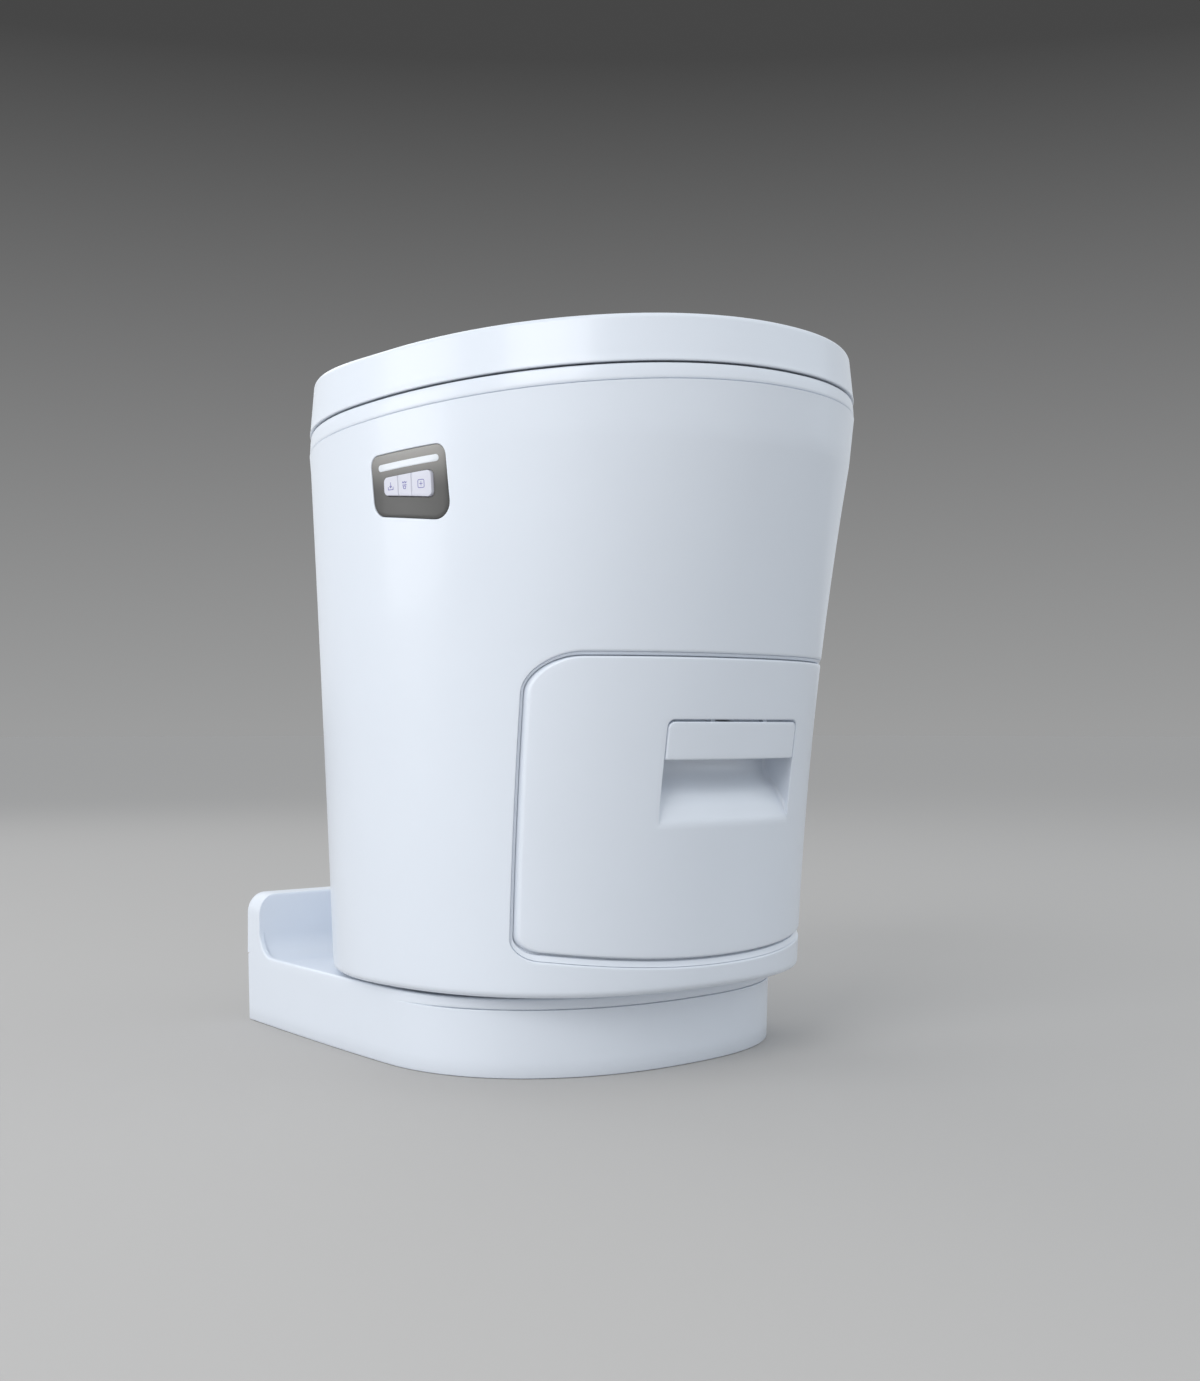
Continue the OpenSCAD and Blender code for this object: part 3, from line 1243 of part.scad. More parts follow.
function seat_top_at(y) = seat_low_z + seat_t - deck_fall * y;
function lid_under_at(y) = lid_rim_z + lid_h - lid_wall - lid_top_fall * y;
lid_buffer_x = 142;
module lid_buffers() {
    color(rubber) for (x = [-lid_buffer_x, lid_buffer_x], y = buffer_y)
        rod_z(x, y, buffer_r, seat_top_at(y - buffer_r) + seat_gap, lid_under_at(y + buffer_r) - seat_gap);
}

// Control panel: a plate in the shell, a light bar, three buttons and the board behind them
plate_t = 2.5;
plate_inset = 0.3;
board_depth = 21.5;
board_x = board_depth - body_half_w_top;
board_t = 1.6;
board_margin = 4;
post_r = 2;
post_y = [board_margin + post_r - panel_front, -panel_rear - board_margin - post_r / 2];
post_low_drop = 6;
post_high_drop = 2;
post_z = [button_rear_z - button_rear_h - post_low_drop, button_rear_z - post_high_drop];
switch_h = 2;
button_gap = 0.3;
stem_r = 2.5;
flange_w = 1.2;
panel_margin = 10;

function button_outline(gap) = rounded_quad(button_corners, button_corner_r, gap);
module panel_solid(inset) { body_solid(panel_low_z - panel_margin, panel_high_z + panel_margin, inset, 1); }
module panel_hollow(inset) {
    body_solid(panel_low_z - panel_margin - past, panel_high_z + panel_margin + past, inset, 1);
}
module light_prism(gap) { side_prism(rounded_quad(light_corners, light_h / 2 - 0.01, gap)); }
module panel_plate() {
    color(grey_plastic) union() {
        difference() {
            intersection() {
                panel_solid(plate_inset);
                panel_prism(0);
            }
            panel_hollow(plate_inset + plate_t);
            side_prism(button_outline(button_gap));
            light_prism(0.1);
        }
        intersection() {
            panel_solid(plate_inset + plate_t / 2);
            for (y = post_y, z = post_z) rod_x(y, z, post_r, -body_half_w_top, board_x - seat_gap);
        }
    }
}
module light_bar() {
    color("white") difference() {
        intersection() {
            panel_solid(0);
            light_prism(0);
        }
        panel_hollow(plate_inset + plate_t + 2);
    }
}
module button_board() {
    color([0.10, 0.30, 0.18]) union() {
        block([board_x, post_y[0] - board_margin / 2, post_z[0] - board_margin],
            [board_x + board_t, post_y[1] + board_margin, post_z[1] + 3 * board_margin]);
        for (i = [0 : 2]) rod_x(button_mid_y(i), button_mid_z, post_r, board_x - switch_h, board_x);
    }
}
button_mid_z = button_rear_z - button_rear_h / 2;
function button_mid_y(i) = -(button_edges[i] + button_edges[i + 1]) / 2;
module button(i) {
    back_inset = plate_inset + plate_t + button_travel + 2;
    color(white_plastic) union() {
        difference() {
            union() {
                intersection() {
                    panel_solid(plate_inset - button_rise);
                    side_prism(button_outline(0));
                    button_span(i);
                }
                intersection() {
                    panel_solid(plate_inset + plate_t + seat_gap);
                    side_prism(button_outline(flange_w));
                    button_span(i);
                }
            }
            panel_hollow(back_inset);
        }
        rod_x(button_mid_y(i), button_mid_z, stem_r,
            -body_side_at(button_mid_y(i), button_mid_z) + back_inset - past,
            board_x - switch_h - button_travel - seat_gap);
    }
}
// Part of the row that one button fills, with the flanges beyond the ends of the row
module button_span(i) {
    y0 = -button_edges[i] + (i == 0 ? -reach : button_gap / 2);
    y1 = -button_edges[i + 1] + (i == 2 ? reach : -button_gap / 2);
    block([-body_half_w_top - reach, y0, panel_low_z], [side_prism_x, y1, panel_high_z]);
}
module tray_button() { button(2); }
module pack_button() { button(1); }
module plus_button() { button(0); }

base_housing();
rear_cover();
rear_cover_screws();
cable_inlet();
floor_plate();
slide_ring();
turntable();
hub_nut();
body_pan();
turntable_screws();
body_shell();
left_side_frame();
right_side_frame();
slide_outer_channels();
slide_middle_channels();
slide_inner_rails();
drawer_tray();
waste_bin();
front_panel();
front_panel_screws();
latch_paddle();
paddle_pin();
catch_plate();
catch_magnet();
magnet_bracket();
seal_frame();
guide_rods();
lead_screw();
front_jaw();
rear_jaw();
heater_strip();
seal_pad();
gear_motor();
control_unit();
bowl();
film_cassette();
film_pack();
cassette_cover();
deck();
hinge_brackets();
hinge_pins();
seat();
seat_buffers();
lid();
lid_buffers();
panel_plate();
light_bar();
button_board();
tray_button();
pack_button();
plus_button();
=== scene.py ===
"""Looks of a waterless packing toilet: smooth outer skins, fittings, finishes, a plain stage and the camera.

All shapes are worked out in millimetres in the frame of the part (swivel axis Z, floor z = 0, front -Y, key
panel on -X) and put into the meshes in metres.
"""

import logging
import math
from dataclasses import dataclass, field
from enum import Enum

import bmesh
import bpy
import numpy as np
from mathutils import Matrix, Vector


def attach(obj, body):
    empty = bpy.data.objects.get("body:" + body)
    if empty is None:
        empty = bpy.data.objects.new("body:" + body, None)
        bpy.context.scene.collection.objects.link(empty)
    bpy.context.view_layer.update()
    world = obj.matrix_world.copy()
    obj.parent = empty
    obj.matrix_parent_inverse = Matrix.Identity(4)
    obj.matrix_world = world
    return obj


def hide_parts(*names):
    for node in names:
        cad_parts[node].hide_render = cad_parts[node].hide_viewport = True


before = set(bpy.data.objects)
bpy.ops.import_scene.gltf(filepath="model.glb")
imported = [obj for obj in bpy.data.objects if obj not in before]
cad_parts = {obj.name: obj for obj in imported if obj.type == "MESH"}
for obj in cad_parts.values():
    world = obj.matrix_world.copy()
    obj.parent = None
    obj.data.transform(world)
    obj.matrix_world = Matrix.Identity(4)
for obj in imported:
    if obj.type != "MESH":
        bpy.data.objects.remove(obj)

logging.basicConfig(level=logging.INFO, format="%(message)s")
LOG = logging.getLogger("toilet")
MM = 0.001
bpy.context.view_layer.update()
TINY = 1e-9
NEAR = 0.01
WELD_M = 1e-6
QUARTER = math.pi / 2
Array = np.ndarray
Value = Array | float
Piece = bpy.types.Object
Material = bpy.types.Material
Tree = bpy.types.NodeTree
Node = bpy.types.Node
Socket = bpy.types.NodeSocket
Pair = tuple[float, float]
Triple = tuple[float, float, float]
Four = tuple[float, float, float, float]
Counts = tuple[int, int, int, int]


# -------- mesh building


def add_object(name: str, data: bpy.types.ID) -> Piece:
    """Makes an object and links it to the scene.

    Args:
        name: Its name.
        data: Its mesh, camera or lamp.

    Returns:
        The object.
    """
    made = bpy.data.objects.new(name, data)
    bpy.context.scene.collection.objects.link(made)
    return made


def points_of(x: Value, y: Value, z: Value) -> Array:
    """Joins coordinates into points, repeating a single value as often as it takes."""
    return np.stack(np.broadcast_arrays(x, y, z), axis=-1).astype(float)


def squared(c: Array, square: Value) -> Array:
    """Works out sgn(c) |c|^(2/n), the share of a superellipse of squareness n."""
    return np.sign(c) * np.abs(c) ** (2 / square)


class Draft:
    """Collects grids, loops and caps of one mesh in millimetres, then makes a Blender object of them."""

    def __init__(self) -> None:
        """Starts with no vertices and no faces."""
        self.points: list[Array] = []
        self.quads: list[Array] = []
        self.polygons: list[list[int]] = []
        self.count = 0

    def add_points(self, points: Array) -> int:
        """Adds points and returns the index of the first one.

        Args:
            points: Any array whose last axis holds x, y, z in millimetres.

        Returns:
            Index of the first added vertex.
        """
        flat = np.asarray(points, float).reshape(-1, 3)
        first = self.count
        self.points.append(flat)
        self.count += len(flat)
        return first

    def grid(self, points: Array | list[Array], wrap: bool = False, close: bool = False, skip: Array | None = None,
             flip: bool = False) -> None:
        """Adds the quads of a grid of rows and columns.

        A quad joins (row, column), (row, column + 1), (row + 1, column + 1) and (row + 1, column).

        Args:
            points: Rows x columns x 3.
            wrap: Whether the last column joins the first one.
            close: Whether the last row joins the first one.
            skip: Mask of cells, rows x columns, that are left open.
            flip: Whether the faces point the other way.
        """
        points = np.asarray(points)
        rows, columns = points.shape[:2]
        index = self.add_points(points) + np.arange(rows * columns).reshape(rows, columns)
        if wrap:
            index = np.concatenate([index, index[:, :1]], axis=1)
        if close:
            index = np.concatenate([index, index[:1]], axis=0)
        quads = np.stack([index[:-1, :-1], index[:-1, 1:], index[1:, 1:], index[1:, :-1]], axis=-1)
        if skip is not None:
            quads = quads[~skip[: quads.shape[0], : quads.shape[1]]]
        quads = quads.reshape(-1, 4)
        self.quads.append(quads[:, ::-1] if flip else quads)

    def cap(self, loop: Array, flip: bool = False) -> None:
        """Adds one polygon through a closed loop.

        Args:
            loop: Points x 3, anticlockwise as seen from outside.
            flip: Whether the face points the other way.
        """
        first = self.add_points(loop)
        order = list(range(first, first + len(loop)))
        self.polygons.append(order[::-1] if flip else order)

    def tube(self, rings: Array | list[Array], flip: bool = False, ends: bool = True) -> None:
        """Adds a closed skin through equal rings, with a polygon over each end.

        Args:
            rings: Rings x points x 3, each ring anticlockwise when seen from the last one.
            flip: Whether the faces point the other way.
            ends: Whether both ends get a cap.
        """
        self.grid(rings, wrap=True, flip=flip)
        if ends:
            self.cap(rings[0], flip=not flip)
            self.cap(rings[-1], flip=flip)

    def block(self, low: Triple, high: Triple, soft: float = 0.8) -> None:
        """Adds a block with softened edges: a rounded rectangle in YZ swept along X, drawn in at both ends.

        Args:
            low: Lowest corner.
            high: Highest corner.
            soft: Radius of the edges.
        """
        (x0, y0, z0), (x1, y1, z1) = low, high
        outline, normal = Outline.rectangle(y0, y1, z0, z1, soft).trace((8, 8, 8, 8))
        part = soft * 0.3
        stations = ((x0, soft), (x0 + part, part), (x0 + soft, 0.0), (x1 - soft, 0.0), (x1 - part, part), (x1, soft))
        self.tube([np.insert(outline - normal * back, 0, x, axis=1) for x, back in stations])

    def build(self, name: str, sharp: float = 40.0) -> Piece:
        """Makes the object: welds doubles, closes it and shades it smooth but for sharp edges.

        Args:
            name: Name of the piece.
            sharp: Edges over this angle, in degrees, stay sharp.

        Returns:
            The new object, linked to the scene.
        """
        mesh = bpy.data.meshes.new(name)
        vertices = np.concatenate(self.points) * MM
        quads = np.concatenate(self.quads) if self.quads else np.zeros((0, 4), int)
        mesh.from_pydata(vertices.tolist(), [], quads.tolist() + self.polygons)
        work = bmesh.new()
        work.from_mesh(mesh)
        bmesh.ops.remove_doubles(work, verts=work.verts, dist=WELD_M)
        bmesh.ops.dissolve_degenerate(work, dist=WELD_M, edges=work.edges)
        work.to_mesh(mesh)
        work.free()
        mesh.shade_smooth()
        mesh.set_sharp_from_angle(angle=math.radians(sharp))
        LOG.info("built %s: %d faces", name, len(mesh.polygons))
        return add_object(name, mesh)


def put(piece: Piece, body: str, slot: str, material: Material, *nodes: str) -> None:
    """Gives a piece its body, its material and the nodes that it stands for.

    Args:
        piece: The new piece.
        body: Name of the body that it rides on.
        slot: Name of the record's material slot; not used.
        material: Its material.
        nodes: Names of the nodes that it stands for.
    """
    piece.data.materials.clear()
    piece.data.materials.append(material)
    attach(piece, body)
    if nodes:
        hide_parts(*nodes)


def quarter(radius: float, steps: int) -> list[Pair]:
    """Works out a quarter-round fillet: at each station the distance back from the edge and the depth."""
    angle = np.linspace(0, QUARTER, steps + 1)
    return list(zip(radius * (1 - np.sin(angle)), radius * (1 - np.cos(angle))))


def round_bar(start: Triple, end: Triple, radius: float, bevel: float = 0.0, steps: int = 32) -> Array:
    """Works out a round bar: circles round its axis at stations along it.

    Args:
        start: One end of the axis.
        end: The other end.
        radius: Radius of the bar.
        bevel: Bevel at both ends.
        steps: Points of a circle.

    Returns:
        Rings x steps x 3 points.
    """
    a, b = np.array(start, float), np.array(end, float)
    length = float(np.linalg.norm(b - a))
    axis = (b - a) / length
    side = np.cross(axis, [0.0, 0.0, 1.0] if abs(axis[2]) < 0.9 else [1.0, 0.0, 0.0])
    side /= np.linalg.norm(side)
    turn = np.linspace(0, 2 * math.pi, steps, endpoint=False)
    circle = np.cos(turn)[:, None] * side + np.sin(turn)[:, None] * np.cross(axis, side)
    stations = [(0, radius), (length, radius)]
    if bevel > 0:
        stations = [(0, radius - bevel), (bevel, radius), (length - bevel, radius), (length, radius - bevel)]
    return np.stack([a + axis * along + circle * r for along, r in stations])


@dataclass(frozen=True)
class Outline:
    """Four-cornered outline with rounded corners in a plane of u, to the right, and v, up.

    The corners run anticlockwise from the lower left. The lower edge may bow: between its corner arcs it hangs
    bow (h^2 - d^2) under its chord, with d the distance from its middle and h half its length. An arc gets crowd
    times the points of a straight length.
    """

    corners: tuple[Pair, ...]
    radii: Four
    bow: float = 0.0
    crowd: float = 2.2

    @staticmethod
    def rectangle(u0: float, u1: float, v0: float, v1: float, radius: float) -> "Outline":
        """Makes a rounded rectangle from its left, right, lower and upper edge and its corner radius."""
        return Outline(((u0, v0), (u1, v0), (u1, v1), (u0, v1)), (radius,) * 4)

    def trace(self, counts: Counts) -> tuple[Array, Array]:
        """Works out points from the middle of the lower left corner and anticlockwise.

        Each side runs from the middle of one corner arc to the middle of the next, and its points stand closer
        in the arcs. A point is the centre of its arc plus the radius along the outward normal.

        Args:
            counts: Points on the lower, right, upper and left side.

        Returns:
            The points and their outward normals, each points x 2.
        """
        corner = np.array(self.corners, float)
        ahead = np.roll(corner, -1, axis=0) - corner
        ahead /= np.linalg.norm(ahead, axis=1)[:, None]
        normal = np.stack([ahead[:, 1], -ahead[:, 0]], -1)
        before = -np.roll(ahead, 1, axis=0)
        half = np.arccos(np.clip((before * ahead).sum(1), -1, 1)) / 2
        radii = np.array(self.radii, float)
        inward = (before + ahead) / np.linalg.norm(before + ahead, axis=1)[:, None]
        centre = corner + inward * (radii / np.sin(half))[:, None]
        turn = QUARTER - half
        points, outward = [], []
        for i, count in enumerate(counts):
            j = (i + 1) % 4
            first, last = (self.crowd * radii[k] * turn[k] + TINY for k in (i, j))
            start, end = centre[i] + radii[i] * normal[i], centre[j] + radii[j] * normal[i]
            straight = float(np.linalg.norm(end - start))
            s = np.arange(count) / count * (first + straight + last)
            bend = np.where(s < first, (s / first - 1) * turn[i],
                            np.where(s > first + straight, (s - first - straight) / last * turn[j], 0.0))
            along = np.clip((s - first) / straight, 0, 1)[:, None]
            out = np.cos(bend)[:, None] * normal[i] + np.sin(bend)[:, None] * ahead[i]
            point = (1 - along) * (centre[i] + radii[i] * out) + along * (centre[j] + radii[j] * out)
            if i == 0 and self.bow > 0:
                reach, away = (end[0] - start[0]) / 2, point[:, 0] - (start[0] + end[0]) / 2
                level = bend == 0
                point[:, 1] -= np.where(level, self.bow * (reach ** 2 - away ** 2), 0.0)
                slope = 2 * self.bow * away
                tilted = np.stack([slope, -np.ones_like(slope)], -1) / np.sqrt(1 + slope ** 2)[:, None]
                out = np.where(level[:, None], tilted, out)
            points.append(point)
            outward.append(out)
        return np.concatenate(points), np.concatenate(outward)

    def box(self) -> Four:
        """Returns the lowest and highest u, then the lowest and highest v of the outline."""
        points, _ = self.trace((60, 60, 60, 60))
        (u0, v0), (u1, v1) = points.min(axis=0).tolist(), points.max(axis=0).tolist()
        return u0, u1, v0, v1


# -------- the shared form


@dataclass(frozen=True)
class BodyForm:
    """Outline of the body at any height: superellipse halves whose rear one narrows towards the back.

    x = a sgn(cos t) |cos t|^(2/n) and y = b sgn(sin t) |sin t|^(2/n); behind the axis x also shrinks by
    1 - k (y / b)^2. The sizes bow from bottom to top as f + c f (f - 1), with f the share of the height.
    """

    half_w: Pair = (171.3, 189.5)
    front: Pair = (167.8, 235.9)
    rear: Pair = (178.7, 194.0)
    front_square: Pair = (2.44, 2.12)
    rear_square: Pair = (2.2, 2.31)
    taper: Pair = (0.127, 0.167)
    flare: Triple = (0.158, 0.64, 0.083)
    low_z: float = 57.6
    high_z: float = 450.1
    seam_fall: float = 0.068
    columns: int = 320
    fine_steps: int = 20000
    even_share: float = 0.7

    def share(self, z: Value) -> Value:
        """Works out the share of the body's height under z: 0 at the lower edge, 1 at the top seam."""
        return (z - self.low_z) / (self.high_z - self.low_z)

    def sizes(self, f: Value, inset: Value) -> tuple:
        """Works out the outline's sizes at a height share.

        Args:
            f: Share of the height.
            inset: Distance that the outline is drawn in.

        Returns:
            Half width, front reach, rear reach, both squareness values and the taper.
        """
        def mix(pair: Pair, bow: float = 0.0) -> Value:
            """Runs from the lower to the upper size by the bowed share of the height."""
            return pair[0] + (pair[1] - pair[0]) * (f + bow * f * (f - 1))

        reach = (mix(pair, bow) - inset for pair, bow in zip((self.half_w, self.front, self.rear), self.flare))
        return (*reach, mix(self.front_square), mix(self.rear_square), mix(self.taper))

    def outline(self, t: Array, f: Value, inset: Value) -> tuple[Array, Array]:
        """Works out outline points.

        Args:
            t: Angles.
            f: Share of the height.
            inset: Distance that the outline is drawn in.

        Returns:
            x and y of the points.
        """
        a, bf, br, nf, nr, k = self.sizes(f, inset)
        c, s = unit_circle(t)
        ahead = s < 0
        n = np.where(ahead, nf, nr)
        y = np.where(ahead, bf, br) * squared(s, n)
        x = a * squared(c, n)
        return x * np.where(ahead, 1.0, 1 - k * (y / br) ** 2), y

    def wall(self, t: Array, z: Value, inset: Value) -> Array:
        """Works out wall points at angles t and heights z, at a distance under the outer face."""
        return points_of(*self.outline(t, self.share(z), inset), z)

    def top(self, t: Array, z: Value, fall: float, inset: Value) -> Array:
        """Works out points over the drawn-in top outline, at a height z that falls towards the rear."""
        x, y = self.outline(t, 1.0, inset)
        return points_of(x, y, z - fall * y)

    def ahead(self, x: Value, z: Value, inset: Value) -> Array:
        """Works out front wall points: y = -b (1 - (|x| / a)^n)^(1/n).

        Args:
            x: Places across.
            z: Heights.
            inset: Distance under the outer face.

        Returns:
            Points x 3.
        """
        a, bf, _, nf, _, _ = self.sizes(self.share(z), inset)
        y = -bf * np.clip(1 - (np.abs(x) / a) ** nf, 0, None) ** (1 / nf)
        return points_of(x, y, z)

    def beside(self, y: Value, z: Value, inset: Value) -> Array:
        """Works out points of the wall on the -X side, in front of the axis.

        Args:
            y: Places along.
            z: Heights.
            inset: Distance under the outer face.

        Returns:
            Points x 3.
        """
        a, bf, _, nf, _, _ = self.sizes(self.share(z), inset)
        x = -a * np.clip(1 - (np.abs(y) / bf) ** nf, 0, None) ** (1 / nf)
        return points_of(x, y, z)

    def even_angles(self) -> Array:
        """Works out angles whose outline points lie at equal distances along the outline.

        The distances are summed over many fine steps, at one share of the height.

        Returns:
            The angles.
        """
        t = np.linspace(0, 2 * math.pi, self.fine_steps + 1)
        x, y = self.outline(t, self.even_share, 0)
        length = np.concatenate([[0], np.cumsum(np.hypot(np.diff(x), np.diff(y)))])
        return np.interp(np.arange(self.columns) / self.columns * length[-1], length, t)

    def turned_in(self, x: Array, z: Array) -> Array:
        """Works out how much a step along X is shortened by the bend of the front wall.

        Args:
            x: Places across.
            z: Heights.

        Returns:
            Cosine between the wall's direction and the X axis.
        """
        step = 0.5
        x = np.clip(np.abs(x), 2 * step, None)
        near, far = self.ahead(x - step, z, 0), self.ahead(x + step, z, 0)
        slope = (far[..., 1] - near[..., 1]) / (2 * step)
        return 1 / np.sqrt(1 + slope ** 2)


def unit_circle(t: Array) -> tuple[Array, Array]:
    """Works out cosines and sines of the angles without the rounding noise round zero."""
    c, s = np.cos(t), np.sin(t)
    return np.where(np.abs(c) < TINY, 0, c), np.where(np.abs(s) < TINY, 0, s)


FORM = BodyForm()


@dataclass(frozen=True)
class Oval:
    """Superellipse round a centre on the Y axis, in a plane that falls towards the rear."""

    half_w: float
    half_l: float
    centre_y: float = -42.0
    square: float = 2.15

    def ring(self, t: Array, z: float, fall: float, grow: float = 0.0) -> Array:
        """Works out a ring.

        Args:
            t: Angles.
            z: Height on the swivel axis.
            fall: Fall per millimetre.
            grow: Distance that the oval is grown by.

        Returns:
            Points x 3.
        """
        c, s = unit_circle(t)
        y = self.centre_y + (self.half_l + grow) * squared(s, self.square)
        return points_of((self.half_w + grow) * squared(c, self.square), y, z - fall * y)


class Face(Enum):
    """The sides of the body that carry windows, each with its plane of u, to the right, and v, up."""

    FRONT = "front"
    PANEL = "panel"

    def place(self, flat: Array, inset: Value) -> Array:
        """Puts plane points onto the body.

        Args:
            flat: Points x 2.
            inset: Distance under the outer face.

        Returns:
            Points x 3.
        """
        if self is Face.FRONT:
            return FORM.ahead(flat[..., 0], flat[..., 1], inset)
        return FORM.beside(-flat[..., 0], flat[..., 1], inset)

    def flatten(self, points: Array) -> Array:
        """Projects points onto the plane of u and v."""
        across = points[..., 0] if self is Face.FRONT else -points[..., 1]
        return np.stack([across, points[..., 2]], -1)

    def faces(self, points: Array) -> Array:
        """Tells which points lie on this side of the body."""
        return points[..., 1] < 0 if self is Face.FRONT else points[..., 0] < 0

    def steps(self, flat: Array, normal: Array) -> Array:
        """Scales plane normals so that a step along them has its true length on the body.

        Args:
            flat: Points x 2.
            normal: Their outward normals.

        Returns:
            The scaled normals.
        """
        if self is Face.PANEL:
            return normal
        return normal * np.stack([FORM.turned_in(flat[:, 0], flat[:, 1]), np.ones(len(flat))], -1)

    def rim(self, flat: Array, step: Array, radius: float, count: int, depth: float = 0.0) -> list[Array]:
        """Works out the loops of a rounded edge, from a face at a depth down to the edge's side."""
        return [self.place(flat + step * back, depth + deep) for back, deep in quarter(radius, count)]


@dataclass(frozen=True)
class DoorForm:
    """Outline of the drawer front, of the sloped groove round it and of the ledge behind it."""

    half_w: float = 144.0
    narrower: float = 3.0
    low_z: float = 80.3
    low_bow: float = 10.4
    high_z: float = 286.0
    corner_r: float = 24.0
    low_r: float = 12.0
    groove: Pair = (3.0, 6.0)
    slope: tuple[Triple, ...] = (
        (2.8, 5.8, 0.7), (2.3, 4.5, 1.5), (1.0, 2.1, 2.3), (0.75, 1.2, 4.4))
    ledge: Pair = (5.0, 2.0)
    ledge_depth: float = 5.0
    ledge_t: float = 2.5

    def outline(self, side: float = 0.0, below: float = 0.0) -> Outline:
        """Makes the outline, grown at its sides and top, and below.

        Args:
            side: Growth at the sides and above.
            below: Growth below.

        Returns:
            The outline.
        """
        half, low_r, high = self.half_w + side, self.low_r + side, self.high_z + side
        low_half, bow = half - self.narrower, self.low_bow / self.half_w ** 2
        low = self.low_z + bow * (low_half - low_r) ** 2 - below
        top_r = self.corner_r + side
        return Outline(((-low_half, low), (low_half, low), (half, high), (-half, high)),
                       (low_r, low_r, top_r, top_r), bow)

    def flange(self) -> list[tuple[Outline, float]]:
        """Lists the loops behind the groove's edge: its slope, the ledge, the ledge's back and the flange's side."""
        loops = [(self.outline(side, below), depth) for side, below, depth in self.slope]
        inner = self.outline(-self.ledge[0], -self.ledge[1])
        back = self.ledge_depth + self.ledge_t
        return loops + [(loops[-1][0], self.ledge_depth), (inner, self.ledge_depth), (inner, back),
                        (self.skirt(), back)]

    def skirt(self) -> Outline:
        """Makes the outline of the flange's outer side."""
        return self.outline(self.groove[0] + self.ledge_t, self.groove[1] + self.ledge_t)


@dataclass(frozen=True)
class PanelForm:
    """Outlines of the key panel, its row of keys and its light bar, in the plane of the -X side."""

    plate: Outline = Outline(((14.6, 384.7), (84.3, 377.19), (81.7, 428.59), (12.0, 425.1)),
                             (11.5, 11.5, 7.5, 7.5))
    row: Outline = Outline(((27.3, 397.67), (71.3, 393.47), (71.3, 411.67), (27.3, 409.47)), (3.5,) * 4)
    light: Outline = Outline(((20.0, 413.9), (77.0, 416.75), (77.0, 421.95), (20.0, 419.1)), (2.58,) * 4)
    splits: Four = (71.3, 54.1, 41.4, 27.3)
    gap: float = 0.3
    split_r: float = 0.4

    def key(self, index: int) -> Outline:
        """Makes the outline of one key: the row's part between two splits, rounded at the row's ends.

        Args:
            index: 0 for the front key, 2 for the rear one.

        Returns:
            The outline.
        """
        (u0, low0), (u1, low1), (_, high1), (_, high0) = self.row.corners
        right = self.splits[index] - (self.gap / 2 if index > 0 else 0)
        left = self.splits[index + 1] + (self.gap / 2 if index < 2 else 0)

        def ends(u: float) -> tuple[Pair, Pair]:
            """Returns the points of the row's lower and upper edge at u."""
            q = (u - u0) / (u1 - u0)
            return (u, low0 + (low1 - low0) * q), (u, high0 + (high1 - high0) * q)

        (left_low, left_high), (right_low, right_high) = ends(left), ends(right)
        large = self.row.radii[0]
        left_r, right_r = (large if index == 2 else self.split_r), (large if index == 0 else self.split_r)
        return Outline((left_low, right_low, right_high, left_high), (left_r, right_r, right_r, left_r))

    def middle(self, index: int) -> Pair:
        """Returns the middle of a key, its u and v."""
        corners = np.array(self.key(index).corners)
        return float(corners[:, 0].mean()), float(corners[:, 1].mean())


DOOR = DoorForm()
PANEL = PanelForm()


# -------- finishes


def link(tree: Tree, out: Socket, into: Socket) -> None:
    """Joins the giving socket to the taking one."""
    tree.links.new(out, into)


def add_node(tree: Tree, kind: str, values: dict[str, float | Triple] | None = None) -> Node:
    """Adds a node.

    Args:
        tree: Node tree that takes it.
        kind: Its type.
        values: Values of its inputs by their names.

    Returns:
        The node.
    """
    node = tree.nodes.new(kind)
    set_inputs(node, values or {})
    return node


def set_inputs(node: Node, values: dict[str, float | Triple]) -> None:
    """Sets the values of a node's inputs by their names."""
    for name, value in values.items():
        node.inputs[name].default_value = value


